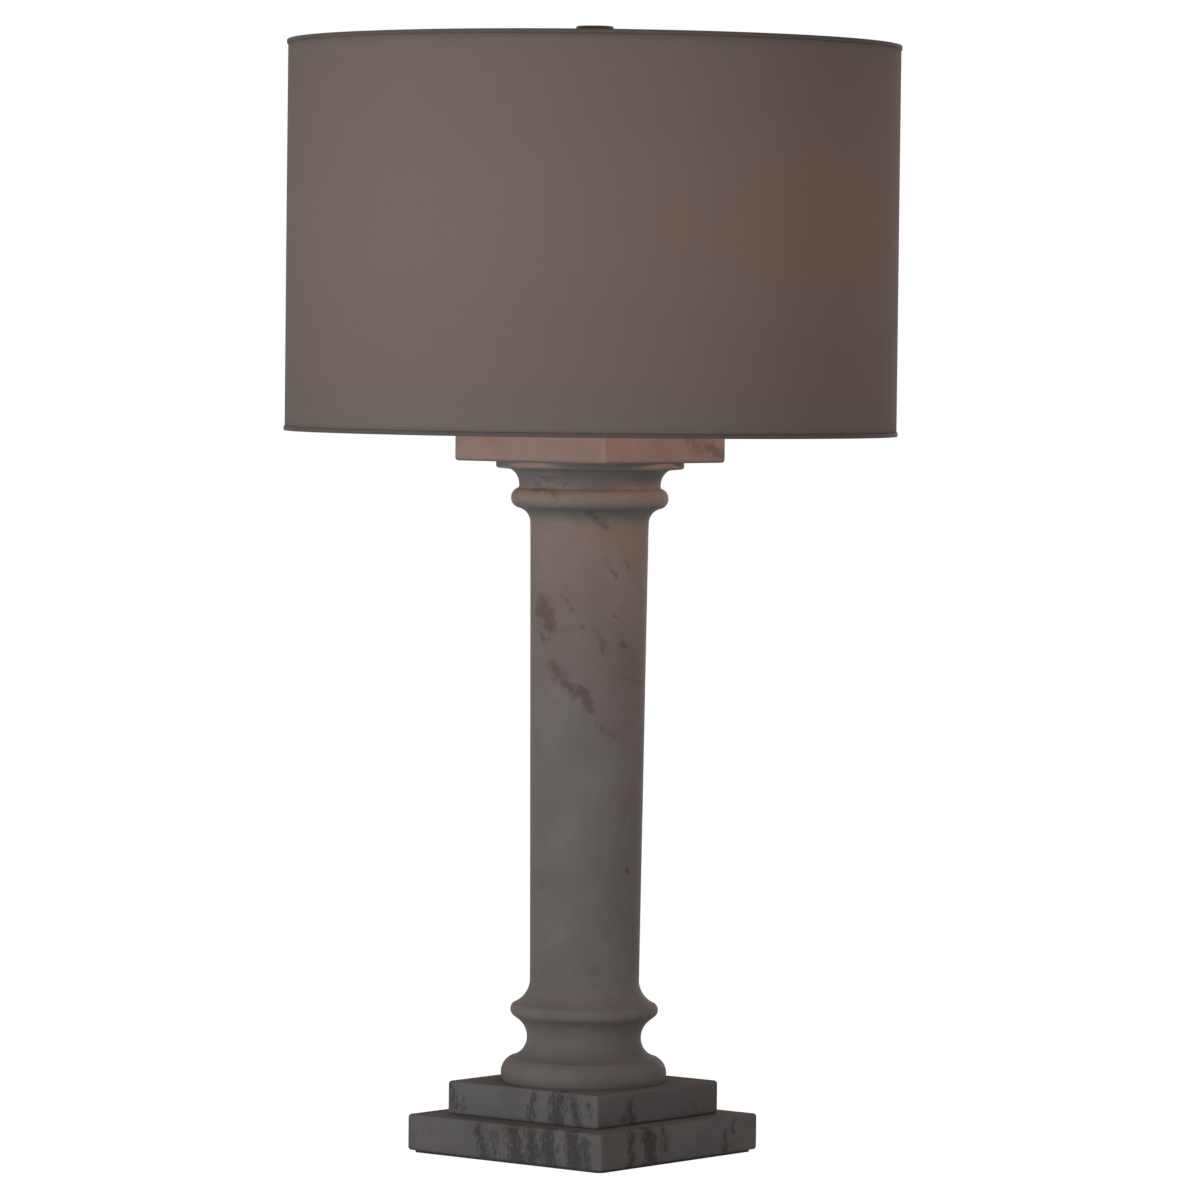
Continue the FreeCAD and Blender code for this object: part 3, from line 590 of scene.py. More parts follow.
@dataclass(frozen=True)
class Metal(Finish):
    """Plated, brushed or lacquered metal, dulled unevenly by handling."""

    dull: Colour
    metallic: float = 1.0
    dulled: float = 0.4
    blotch: float = 7.0
    tarnish_span: Span = (0.38, 0.72)
    tarnish_gloss: float = 0.10
    scratch: Point = (1.0, 1.0, 0.12)
    scratches: Noise = Noise(0.6, 3.0)
    scratch_gloss: float = 0.18
    scratch_depth: float = 0.012
    coat: float = 0.0
    coat_roughness: float = 0.25

    def shade(self, shader: Shader) -> None:
        """Uneven tarnish, and fine scratches along one direction.

        Args:
            shader: The metal's shader.
        """
        at = shader.place()
        blotches = Noise(self.blotch, detail=5.0, rough=0.62, warp_size=12, warp=4)
        tarnish = blotches.draw(shader, at).step(*self.tarnish_span)
        lines = self.scratches.draw(shader, at * self.scratch)
        colour = shader.blend(tarnish * self.dulled, self.colour, self.dull)
        roughness = self.roughness + (lines - 0.5) * self.scratch_gloss
        roughness = roughness + tarnish * self.tarnish_gloss
        shader.set(Base_Color=colour, Metallic=self.metallic, Roughness=roughness)
        shader.set(Coat_Weight=self.coat, Coat_Roughness=self.coat_roughness)
        shader.relief(lines, self.scratch_depth)


class Texture(Enum):
    """How the surface of a moulded or coated piece feels."""

    SMOOTH = "smooth"
    PEBBLED = "pebbled"
    FIBROUS = "fibrous"


@dataclass(frozen=True)
class Moulded(Finish):
    """Plastic, board, paint or glass in one colour, with a texture of its own."""

    texture: Texture
    second: Colour
    mixed: float
    grain: float
    depth: float
    emission: Colour = BLACK
    strength: float = 0.0
    glow_height: float = 0.0
    glow_reach: float = 0.0
    glow_mix: Colour = (0.6, 0.1, 0.3)
    clouds: Noise = Noise(16, 4.0, 0.6, 20, 6)
    cloud_share: float = 0.6
    mix_span: Span = (0.40, 0.66)
    pebble_span: Span = (0.36, 0.64)
    fibres: Point = (1.0, 1.0, 0.15)
    fine_gloss: float = 0.12
    cloud_gloss: float = 0.08

    def shade(self, shader: Shader) -> None:
        """Slightly uneven colour over pebbles, fibres or a smooth skin.

        Args:
            shader: The piece's shader.
        """
        at = shader.place()
        stretch = self.fibres if self.texture is Texture.FIBROUS else UNSTRETCHED
        cloud = self.clouds.draw(shader, at)
        fine = Noise(self.grain).draw(shader, at * stretch)
        if self.texture is Texture.PEBBLED:
            fine = fine.step(*self.pebble_span)
        share = (cloud * self.cloud_share + fine * (1 - self.cloud_share)).step(*self.mix_span)
        colour = shader.blend(share * self.mixed, self.colour, self.second)
        gloss = (fine - 0.5) * self.fine_gloss + (cloud - 0.5) * self.cloud_gloss
        shader.set(Base_Color=colour, Roughness=self.roughness + gloss)
        if self.strength:
            shader.set(Emission_Color=self.light(shader, cloud), Emission_Strength=self.strength)
        shader.relief(fine, self.depth)

    def light(self, shader: Shader, cloud: Number) -> object:
        """The colour that the piece gives off, weaker away from the bulb where it has a reach; on the
        liner it is a painted glow of the bulb's light.

        Args:
            shader: The piece's shader.
            cloud: Its cloudy noise.

        Returns:
            A colour or a socket.
        """
        if not self.glow_reach:
            return self.emission
        height = shader.place().axes()[2]
        near = abs(height - self.glow_height * MM).step(self.glow_reach * MM, 0.0)
        by_height, by_cloud, least = self.glow_mix
        return shader.blend(near * by_height + cloud * by_cloud + least, BLACK, self.emission)


# ---- veins -------------------------------------------------------------------------------
class Side(Enum):
    """A side of a square stone, with the axis that it faces along and the way it faces."""

    FRONT = (1, -1)
    BACK = (1, 1)
    LEFT = (0, -1)
    RIGHT = (0, 1)

    def __init__(self, axis: int, way: int) -> None:
        """Keep the axis and the way."""
        self.axis = axis
        self.way = way


def shaft_streak(vein: Vein) -> Streak:
    """A vein on the shaft, from the angles and heights of its ends, half width and strength."""
    first, low, last, high, width, strength = vein
    return Streak(polar(SHAFT, first, low), polar(SHAFT, last, high), width, strength)


def face_streaks(face: float, veins: dict[Side, tuple[Vein, ...]]) -> tuple[Streak, ...]:
    """Veins on the faces of a square stone.

    Args:
        face: How far its faces are from the axis.
        veins: Veins by the side that they are on, each as the place along the face and the height
            of its start and of its end, its half width and its strength.

    Returns:
        The veins.
    """
    streaks = []
    for side, rows in veins.items():
        for first, low, last, high, width, strength in rows:
            ends = [[first, first, low], [last, last, high]]
            for end in ends:
                end[side.axis] = side.way * face
            streaks.append(Streak(*map(tuple, ends), width, strength))
    return tuple(streaks)


SHAFT = 40.6
SHAFT_VEINS = (
    (-107, 385, -94, 383, 12.5, 0.96),
    (-101, 388, -94, 375, 14.5, 0.92),
    (-106, 368, -99, 364, 10.0, 0.66),
    (-89, 346, -72, 333, 10.0, 0.80),
    (-73, 333, -62, 328, 11.5, 0.80),
    (-60, 330, -54, 328, 9.0, 0.92),
    (-54, 327, -49, 317, 8.0, 0.98),
    (-40, 305, -24, 297, 6.1, 0.62),
    (-34, 422, -23, 410, 4.9, 0.66),
    (-16, 432, -8, 416, 6.1, 0.55),
    (-74, 393, -67, 386, 4.6, 0.60),
    (-57, 376, -55, 374, 3.6, 0.80),
    (-44, 374, -31, 357, 10.5, 0.50),
    (-25, 382, -23, 380, 3.4, 0.85),
    (-39, 361, -36, 357, 4.2, 0.82),
    (-17, 363, -13, 360, 4.4, 0.82),
    (-20, 359, -14, 356, 8.0, 0.46),
    (-9, 339, 15, 333, 6.5, 0.52),
    (60, 210, 96, 244, 11.4, 0.74),
    (120, 402, 150, 372, 13.3, 0.70),
    (170, 300, 204, 262, 9.5, 0.78),
    (206, 258, 222, 240, 6.8, 0.66),
)
MOULDING_STREAKS = (
    Streak(polar(46, -50, 454), polar(42, -36, 444), 6.8, 0.78),
    Streak(polar(53, -100, 472), polar(55, -76, 467), 11.4, 0.72),
    Streak(polar(51, -90, 478), polar(52, -72, 474), 8.6, 0.62),
    Streak(polar(55, 100, 466), polar(54, 130, 470), 11.4, 0.66),
    Streak(polar(56, 150, 60), polar(57, 175, 68), 11.4, 0.60),
)
COLUMN_STREAKS = tuple(map(shaft_streak, SHAFT_VEINS)) + MOULDING_STREAKS

ABACUS_STREAKS = face_streaks(
    68,
    {
        Side.RIGHT: ((24, 506, 40, 499, 11.9, 0.66), (44, 502, 63, 493, 11.0, 0.80)),
        Side.LEFT: ((30, 505, 5, 494, 11.9, 0.66),),
        Side.BACK: ((20, 496, 46, 505, 11.0, 0.62),),
    },
)
UPPER_STREAKS = face_streaks(
    68,
    {
        Side.FRONT: (
            (-64, 47, -62, 36, 10.5, 0.70),
            (-55, 38, -54, 33, 7.0, 0.62),
            (11, 46, 8, 30, 10.5, 0.72),
            (34, 47, 32, 29, 14.9, 0.92),
            (46, 46, 51, 29, 11.4, 0.80),
            (61, 44, 62, 34, 7.9, 0.56),
        ),
        Side.RIGHT: (
            (-31, 42, -31, 29, 9.6, 0.78),
            (-39, 33, -28, 29, 8.8, 0.70),
            (40, 36, 44, 29, 7.0, 0.50),
        ),
        Side.LEFT: ((-30, 46, -36, 30, 15.8, 0.84), (28, 44, 22, 32, 10.5, 0.66)),
        Side.BACK: ((40, 46, 36, 30, 14.0, 0.80), (-20, 45, -26, 30, 10.5, 0.70)),
    },
)
LOWER_STREAKS = face_streaks(
    88,
    {
        Side.FRONT: (
            (-22, 24, -17, 3, 12.2, 0.72),
            (-8, 20, -6, 6, 10.5, 0.62),
            (9, 25, 13, 3, 16.6, 0.92),
            (25, 22, 27, 4, 14.9, 0.86),
            (40, 25, 43, 3, 15.8, 0.90),
            (62, 25, 66, 3, 14.9, 0.98),
            (74, 22, 76, 3, 8.8, 0.76),
        ),
        Side.RIGHT: (
            (-55, 24, -55, 3, 9.6, 0.84),
            (-36, 25, -33, 3, 14.0, 0.98),
            (-20, 24, -17, 12, 8.8, 0.70),
            (51, 16, 52, 3, 8.8, 0.72),
            (61, 24, 60, 16, 7.0, 0.58),
        ),
        Side.LEFT: (
            (-60, 24, -55, 3, 14.0, 0.80),
            (-20, 24, -24, 3, 15.8, 0.92),
            (42, 24, 46, 3, 10.5, 0.72),
        ),
        Side.BACK: (
            (-50, 24, -46, 3, 14.0, 0.84),
            (24, 24, 28, 3, 12.2, 0.76),
            (58, 22, 60, 3, 10.5, 0.66),
        ),
    },
)
RUST_SPOT = polar(39.2, -3, 202)

MARBLE = {"colour": (0.117, 0.110, 0.104), "roughness": 0.74, "specular": 0.07}
SHAFT_MARBLE = MARBLE | {
    "vein": (0.058, 0.047, 0.044),
    "warm": (0.118, 0.104, 0.097),
    "darkest": 0.60,
    "hazy": 0.24,
}
PLINTH_MARBLE = {
    "colour": (0.096, 0.094, 0.095),
    "roughness": 0.85,
    "specular": 0.02,
    "pale": (0.118, 0.115, 0.115),
    "warm": (0.103, 0.092, 0.088),
    "grain": (1.0, 1.0, 0.34),
    "strand": 2.0,
    "ragged": 3.6,
    "darkest": 0.86,
    "hazy": 0.40,
}
SLABS = {
    "abacus": (ABACUS_STREAKS, MARBLE),
    "upper_plinth": (UPPER_STREAKS, PLINTH_MARBLE),
    "lower_plinth": (LOWER_STREAKS, PLINTH_MARBLE),
}


class Palette:
    """Every finish on the lamp, made once."""

    def __init__(self) -> None:
        """Make the materials."""
        self.make_stones()
        self.make_cloths()
        self.make_metals()
        self.make_mouldings()

    def make_stones(self) -> None:
        """Make the marble of each stone, with its own veins."""
        rust = (RUST_SPOT,)
        column = Stone("marble_column", streaks=COLUMN_STREAKS, rust=rust, **SHAFT_MARBLE)
        self.stones = {"column": column.make()}
        for node, (streaks, marble) in SLABS.items():
            slab = Slab(*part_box(node))
            stone = Stone("marble_" + node, streaks=streaks, slab=slab, **marble)
            self.stones[node] = stone.make()

    def make_cloths(self) -> None:
        """Make the shade's cloth and tape."""
        # The cloth's glow is painted light, for the bulb's light showing through it.
        glow = (0.028, 0.008, 0.003)
        self.cloth = Weave("taupe_linen", (0.145, 0.123, 0.113), 0.92, 0.04, glow=glow).make()
        # The tape's colours are darker than the cloth's: painted shade where it rolls over the rims.
        tape = {"pitch": 0.38, "deep": (0.060, 0.052, 0.047)}
        self.tape = Weave("binding_tape", (0.100, 0.086, 0.079), 0.85, 0.15, **tape).make()

    def make_metals(self) -> None:
        """Make the bronze, brass, zinc, aluminium and solder."""
        lacquer = {"metallic": 0.35, "coat": 0.05}
        self.bronze = Metal(
            "dark_bronze", (0.034, 0.028, 0.024), 0.42, 0.22, (0.020, 0.016, 0.013), **lacquer
        ).make()
        aged = {"dulled": 0.6, "coat": 0.1}
        self.brass = Metal(
            "aged_brass", (0.46, 0.32, 0.15), 0.32, 0.5, (0.24, 0.15, 0.07), **aged
        ).make()
        self.zinc = Metal("zinc_plate", (0.56, 0.56, 0.54), 0.38, 0.5, (0.36, 0.36, 0.34)).make()
        self.aluminium = Metal(
            "bright_aluminium", (0.78, 0.78, 0.78), 0.24, 0.5, (0.5, 0.5, 0.5)
        ).make()
        self.tin = Metal("solder", (0.50, 0.50, 0.50), 0.45, 0.5, (0.3, 0.3, 0.3), blotch=2.0).make()

    def make_mouldings(self) -> None:
        """Make the felt, plastics, board, glass and paint."""
        smooth, pebbled, fibrous = Texture
        self.felt = Moulded(
            "brown_felt", (0.045, 0.040, 0.036), 0.95, 0.05,
            fibrous, (0.085, 0.075, 0.066), mixed=0.6, grain=0.7, depth=0.16,
        ).make()
        self.phenolic = Moulded(
            "black_phenolic", (0.012, 0.012, 0.012), 0.34, 0.5,
            smooth, (0.03, 0.03, 0.03), mixed=0.3, grain=1.0, depth=0.01,
        ).make()
        self.fibre = Moulded(
            "fibre_board", (0.30, 0.22, 0.13), 0.85, 0.2,
            fibrous, (0.18, 0.13, 0.08), mixed=0.6, grain=0.8, depth=0.06,
        ).make()
        self.glass = Moulded(
            "frosted_glass", (0.74, 0.71, 0.64), 0.55, 0.3,
            smooth, (0.85, 0.80, 0.70), mixed=0.3, grain=1.0, depth=0.01,
            emission=(1.0, 0.72, 0.40), strength=0.42,
        ).make()
        self.dark_glass = Moulded(
            "dark_glass", (0.012, 0.011, 0.014), 0.15, 0.6,
            smooth, (0.03, 0.02, 0.04), mixed=0.4, grain=1.2, depth=0.01,
        ).make()
        # The liner's emission is a painted glow: the bulb's light on its inside, strongest at the
        # bulb's height.
        self.liner = Moulded(
            "styrene_liner", (0.74, 0.72, 0.67), 0.60, 0.3,
            pebbled, (0.66, 0.64, 0.59), mixed=0.4, grain=0.8, depth=0.03,
            emission=(1.0, 0.50, 0.28), strength=0.50, glow_height=620.0, glow_reach=210.0,
        ).make()
        self.powder = Moulded(
            "powder_coat", (0.68, 0.67, 0.64), 0.45, 0.4,
            pebbled, (0.60, 0.59, 0.56), mixed=0.4, grain=0.5, depth=0.03,
        ).make()


# ---- making and dressing pieces ----------------------------------------------------------
def dress(node: str, material: bpy.types.Material) -> None:
    """Give a CAD piece its finish.

    Args:
        node: The piece's name.
        material: Its finish.
    """
    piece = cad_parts[node]
    if not piece.material_slots:
        piece.data.materials.append(material)
    for slot in piece.material_slots:
        slot.material = material
    log.info("%s dressed in %s", node, material.name)


def seat(
    piece: bpy.types.Object, body: str, slot: str, material: bpy.types.Material, *nodes: str
) -> None:
    """Finish a new piece: its material, what it rides on and what it stands for.

    Args:
        piece: The piece, in place.
        body: The body that it moves with.
        slot: The record's name for its finish; not used.
        material: Its finish.
        nodes: The CAD pieces that it replaces.
    """
    piece.data.materials.clear()
    piece.data.materials.append(material)
    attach(piece, body)
    if nodes:
        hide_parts(*nodes)
    log.info("%s made, %d faces, on %s", piece.name, len(piece.data.polygons), body)


class Sheet:
    """Cloth made row by row from its flat cut, with a map that keeps the cut's own lengths."""

    FLAT_MAP = "flat"

    def __init__(self, name: str) -> None:
        """Start an empty cloth.

        Args:
            name: The piece's name.
        """
        self.name = name
        self.mesh = bmesh.new()
        self.uv = self.mesh.loops.layers.uv.new(self.FLAT_MAP)

    def add(self, rows: list[list[Vector]], flat: list[list[Span]], closed: bool) -> None:
        """Join rows of points into cloth.

        Args:
            rows: Points in metres, row above row.
            flat: Where each point was on the flat cut, in metres, with one more in a closed row.
            closed: Whether each row runs round and meets its start.
        """
        verts = [[self.mesh.verts.new(point) for point in row] for row in rows]
        count = len(rows[0])
        for low in range(len(rows) - 1):
            for left in range(count if closed else count - 1):
                corners = [(low, left), (low, left + 1), (low + 1, left + 1), (low + 1, left)]
                face = self.mesh.faces.new([verts[row][step % count] for row, step in corners])
                face.smooth = True
                for loop, (row, step) in zip(face.loops, corners):
                    loop[self.uv].uv = flat[row][step]

    def cut_away(self, inside: Callable[[Vector], bool]) -> None:
        """Take out the faces whose middle passes a test."""
        gone = [face for face in self.mesh.faces if inside(face.calc_center_median())]
        bmesh.ops.delete(self.mesh, geom=gone, context="FACES")

    def finish(self, thickness: float) -> bpy.types.Object:
        """Give the cloth its thickness, inwards from the points.

        Args:
            thickness: In millimetres.

        Returns:
            The piece.
        """
        data = bpy.data.meshes.new(self.name)
        self.mesh.to_mesh(data)
        self.mesh.free()
        piece = bpy.data.objects.new(self.name, data)
        bpy.context.scene.collection.objects.link(piece)
        solidify = piece.modifiers.new("thickness", "SOLIDIFY")
        solidify.thickness = thickness * MM
        solidify.offset = -1.0
        solidify.use_rim = True
        return piece


@dataclass
class Lathe:
    """Draws a profile beside the lamp's axis and turns it, round or up a thread."""

    steps: int
    seam: float = 0.001
    weld: float = 0.004
    round_smooth: float = 28.0
    cut_smooth: float = 24.0
    rolled_smooth: float = 50.0
    tooth_steps: int = 10
    rolled_pitch: float = 3.63

    @staticmethod
    def draw(name: str, profile: Profile) -> bpy.types.Object:
        """Draw a line from point to point.

        Args:
            name: The piece's name.
            profile: Points as (radius, height).

        Returns:
            The line, selected and active.
        """
        bpy.ops.object.select_all(action="DESELECT")
        first = Vector((profile[0][0], 0.0, profile[0][1])) * MM
        bpy.ops.mesh.primitive_plane_add(size=MM, location=first)
        piece = bpy.context.active_object
        piece.name = name
        bpy.ops.object.mode_set(mode="EDIT")
        bpy.ops.mesh.select_all(action="SELECT")
        bpy.ops.mesh.merge(type="CENTER")
        bpy.ops.mesh.select_all(action="SELECT")
        for before, after in zip(profile, profile[1:]):
            move = Vector((after[0] - before[0], 0.0, after[1] - before[1])) * MM
            bpy.ops.mesh.extrude_region_move(TRANSFORM_OT_translate={"value": move})
        bpy.ops.object.mode_set(mode="OBJECT")
        bpy.ops.object.transform_apply(location=True, rotation=True, scale=True)
        return piece

    def turn(self, piece: bpy.types.Object, rise: float = 0.0, turns: int = 1) -> None:
        """Sweep the line about the axis.

        Args:
            piece: The line.
            rise: How far it climbs in one turn.
            turns: How many turns it makes.
        """
        screw = piece.modifiers.new("turn", "SCREW")
        screw.axis = "Z"
        screw.screw_offset = rise * MM
        screw.iterations = turns
        screw.steps = screw.render_steps = self.steps
        screw.use_merge_vertices = True
        screw.merge_threshold = self.seam * MM
        bpy.ops.object.modifier_apply(modifier=screw.name)

    def trim(self, height: float, keep: int, fill: bool) -> None:
        """Cut the active piece off square.

        Args:
            height: Where it is cut.
            keep: 1 to keep what is above the cut, -1 to keep what is below.
            fill: Whether the cut is closed.
        """
        bpy.ops.object.mode_set(mode="EDIT")
        bpy.ops.mesh.select_all(action="SELECT")
        bpy.ops.mesh.remove_doubles(threshold=self.weld * MM)
        plane = {"plane_co": (0.0, 0.0, height * MM), "plane_no": (0.0, 0.0, float(keep))}
        bpy.ops.mesh.bisect(**plane, clear_inner=True, use_fill=fill)
        bpy.ops.object.mode_set(mode="OBJECT")

    def skin(self, piece: bpy.types.Object, wall: float, smooth: float) -> None:
        """Point the faces outwards, smooth them and give them a wall.

        Args:
            piece: The piece, active.
            wall: The wall's thickness inwards, or 0 for a solid piece.
            smooth: The sharpest turn that is still smooth, in degrees.
        """
        bpy.ops.object.mode_set(mode="EDIT")
        bpy.ops.mesh.select_all(action="SELECT")
        bpy.ops.mesh.remove_doubles(threshold=self.weld * MM)
        bpy.ops.mesh.normals_make_consistent(inside=False)
        bpy.ops.object.mode_set(mode="OBJECT")
        bpy.ops.object.shade_smooth_by_angle(angle=math.radians(smooth))
        if wall:
            solidify = piece.modifiers.new("wall", "SOLIDIFY")
            solidify.thickness = wall * MM
            solidify.offset = -1.0
            bpy.ops.object.modifier_apply(modifier=solidify.name)

    def round(self, name: str, profile: Profile, wall: float = 0.0) -> bpy.types.Object:
        """Turn a profile once round.

        Args:
            name: The piece's name.
            profile: Points as (radius, height).
            wall: The wall's thickness inwards, or 0 for a solid piece.

        Returns:
            The piece.
        """
        piece = self.draw(name, profile)
        self.turn(piece)
        self.skin(piece, wall, self.round_smooth)
        return piece

    def thread(
        self, name: str, tooth: Profile, pitch: float, low: float, high: float, wall: float = 0.0
    ) -> bpy.types.Object:
        """Cut or roll a thread between two heights.

        Args:
            name: The piece's name.
            tooth: One tooth, as (radius, share of the pitch), from 0 to 1.
            pitch: The rise in one turn.
            low: Where the thread starts.
            high: Where it ends.
            wall: The wall's thickness inwards, or 0 for a solid rod.

        Returns:
            The piece.
        """
        start = low - pitch
        piece = self.draw(name, [(radius, start + share * pitch) for radius, share in tooth])
        self.turn(piece, pitch, math.ceil((high - low) / pitch) + 2)
        self.trim(low, 1, not wall)
        self.trim(high, -1, not wall)
        self.skin(piece, wall, self.rolled_smooth if wall else self.cut_smooth)
        return piece

    def roll(
        self, name: str, cup: Profile, lip: Profile, crest: float, wall: float
    ) -> bpy.types.Object:
        """Make a shell of sheet metal with a lamp base's thread rolled in it.

        Args:
            name: The piece's name.
            cup: The shell below the thread, as (radius, height), up to the thread's root.
            lip: The shell above the thread.
            crest: The thread's largest radius.
            wall: The wall's thickness inwards.

        Returns:
            The piece.
        """
        root, low = cup[-1]
        half = (crest - root) / 2
        shares = [step / self.tooth_steps for step in range(self.tooth_steps + 1)]
        tooth = [(root + half * (1 - math.cos(2 * math.pi * share)), share) for share in shares]
        parts = [self.round("cup", cup, wall), self.round("lip", lip, wall)]
        parts.append(self.thread("thread", tooth, self.rolled_pitch, low, lip[0][1], wall))
        return self.join(parts, name)

    @staticmethod
    def join(pieces: list[bpy.types.Object], name: str) -> bpy.types.Object:
        """Make several turned parts one piece.

        Args:
            pieces: The parts.
            name: The whole's name.

        Returns:
            The piece.
        """
        bpy.ops.object.select_all(action="DESELECT")
        for piece in pieces:
            piece.select_set(True)
        bpy.context.view_layer.objects.active = pieces[0]
        bpy.ops.object.join()
        pieces[0].name = name
        return pieces[0]


# ---- sub-assemblies ----------------------------------------------------------------------
@dataclass
class StoneBase:
    """The plinths, the column and its abacus, with the felt and the bushing underneath."""

    palette: Palette
    pad_side: float = 170.5
    pad_thickness: float = 1.5
    pad_corner: float = 3.0
    pad_rows: int = 60

    def build(self) -> None:
        """Dress the stones and lay the felt."""
        for node, marble in self.palette.stones.items():
            dress(node, marble)
        dress("cord_bushing", self.palette.phenolic)
        self.lay_felt()

    def lay_felt(self) -> None:
        """Cut the felt to its rounded square."""
        half = self.pad_side / 2
        rows = []
        flat = []
        for row in range(self.pad_rows + 1):
            y = half * (2 * row / self.pad_rows - 1)
            reach = half - self.corner_cut(half - abs(y))
            xs = [reach * (2 * step / self.pad_rows - 1) for step in range(self.pad_rows + 1)]
            rows.append([Vector((x, y, self.pad_thickness)) * MM for x in xs])
            flat.append([(x * MM, y * MM) for x in xs])
        sheet = Sheet("felt_sheet")
        sheet.add(rows, flat, closed=False)
        felt = sheet.finish(self.pad_thickness)
        seat(felt, "base", "dark_felt", self.palette.felt, "felt_pad")

    def corner_cut(self, from_edge: float) -> float:
        """How much each end of a row is cut short, by the row's distance from the pad's edge."""
        inside = max(self.pad_corner - from_edge, 0.0)
        return self.pad_corner - math.sqrt(self.pad_corner**2 - inside**2)


@dataclass
class ClampHardware:
    """The threaded pipe and what is clamped on it."""

    palette: Palette

    def build(self) -> None:
        """Dress the pipe, the washers, the nuts and the turned rings."""
        for node in ("tie_rod", "bottom_washer", "lock_washer", "bottom_nut", "lock_nut"):
            dress(node, self.palette.zinc)
        for node in ("check_ring", "neck_tube"):
            dress(node, self.palette.bronze)


@dataclass
class Harp:
    """The saddle, the bow, its sleeves and the threaded stud that the shade sits on."""

    palette: Palette
    stud: float = 3.14
    root: float = 2.74
    pitch: float = 0.94
    stud_foot: float = 770.6
    stud_top: float = 782.7
    collar: float = 6.2
    collar_foot: float = 768.55
    collar_top: float = 771.0
    collar_chamfers: Span = (0.3, 0.4)
    stem: float = 2.5
    rivet: float = 4.4
    rivet_height: float = 1.65
    rivet_dome: float = 0.25
    rivet_flat: float = 0.6
    rivet_edge: float = 0.2
    tooth_shares: Point = (0.12, 0.46, 0.58)
    steps: int = 48

    def build(self) -> None:
        """Dress the harp and cut the stud's thread."""
        for node in ("harp_saddle", "harp_bow", "harp_sleeve_left", "harp_sleeve_right"):
            dress(node, self.palette.bronze)
        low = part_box("harp_swivel")[0].z / MM
        high = low + self.rivet_height
        lathe = Lathe(self.steps)
        head = [(0.0, low), (self.rivet * self.rivet_flat, low + self.rivet_dome)]
        head += [(self.rivet, high - self.rivet_edge), (self.rivet, high), (self.stem, high)]
        under, over = self.collar_chamfers
        collar = [(self.stem, self.collar_foot), (self.collar - under, self.collar_foot)]
        collar += [(self.collar, self.collar_foot + under), (self.collar, self.collar_top - over)]
        collar += [(self.collar - over, self.collar_top), (0.0, self.collar_top)]
        body = lathe.round("swivel_body", head + collar)
        rise, crest, fall = self.tooth_shares
        tooth = [(self.root, 0.0), (self.root, rise), (self.stud, crest), (self.stud, fall)]
        tooth.append((self.root, 1.0))
        stud = lathe.thread("swivel_stud", tooth, self.pitch, self.stud_foot, self.stud_top)
        swivel = lathe.join([body, stud], "threaded_swivel")
        seat(swivel, "swivel", "dark_bronze", self.palette.bronze, "harp_swivel")


@dataclass
class LampSocket:
    """The socket with its cap, shell, insulation, contacts and rotary switch."""

    palette: Palette
    crest: float = 14.25
    root: float = 13.68
    wall: float = 0.34
    floor: float = 572.0
    floor_hole: float = 6.0
    floor_edge: float = 12.9
    corner_radius: float = 13.58
    corner_height: float = 573.2
    thread_foot: float = 576.0
    thread_top: float = 592.5
    lip: float = 13.96
    lip_top: float = 594.7
    rim: float = 14.2
    rim_height: float = 595.0
    steps: int = 72

    def build(self) -> None:
        """Dress the socket and roll its screw shell."""
        self.dress_parts()
        inside = self.floor + self.wall
        cup = [(self.floor_hole, inside), (self.floor_edge, inside)]
        cup += [(self.corner_radius, self.corner_height), (self.root, self.thread_foot)]
        lip = [(self.lip, self.thread_top), (self.lip, self.lip_top), (self.rim, self.rim_height)]
        shell = Lathe(self.steps).roll("rolled_screw_shell", cup, lip, self.crest, self.wall)
        seat(shell, "base", "socket_aluminium", self.palette.aluminium, "screw_shell")

    def dress_parts(self) -> None:
        """Dress the pieces that keep their shape."""
        for node in ("socket_cap", "socket_shell", "terminal_screws", "centre_contact"):
            dress(node, self.palette.brass)
        dress("cap_set_screw", self.palette.zinc)
        dress("socket_insulator", self.palette.fibre)
        dress("socket_body", self.palette.phenolic)
        dress("switch_spindle", self.palette.zinc)
        dress("switch_knob", self.palette.phenolic)


@dataclass
class Bulb:
    """The frosted bulb, which is lit, with its rolled cap."""

    palette: Palette
    crest: float = 12.93
    root: float = 12.36
    wall: float = 0.32
    foot: float = 579.84
    foot_hole: float = 6.0
    foot_edge: float = 11.0
    corner_radius: float = 11.9
    corner_height: float = 580.5
    thread_foot: float = 581.6
    thread_top: float = 594.5
    neck: float = 12.8
    neck_height: float = 595.5
    skirt_low: float = 596.3
    skirt_high: float = 599.4
    top: float = 600.0
    steps: int = 72

    def build(self) -> None:
        """Dress the bulb and roll its cap."""
        dress("bulb_glass", self.palette.glass)
        self.roll_cap()
        dress("bulb_insulator", self.palette.dark_glass)
        dress("bulb_contact", self.palette.tin)

    def roll_cap(self) -> None:
        """Make the cap: a cup at the foot, the rolled thread, and the skirt round the glass."""
        cup = [(self.foot_hole, self.foot), (self.foot_edge, self.foot)]
        cup += [(self.corner_radius, self.corner_height), (self.root, self.thread_foot)]
        skirt = [(self.root, self.thread_top), (self.neck, self.neck_height)]
        skirt += [(self.crest, self.skirt_low), (self.crest, self.skirt_high), (self.neck, self.top)]
        cap = Lathe(self.steps).roll("rolled_bulb_cap", cup, skirt, self.crest, self.wall)
        seat(cap, "bulb", "socket_aluminium", self.palette.aluminium, "bulb_base")


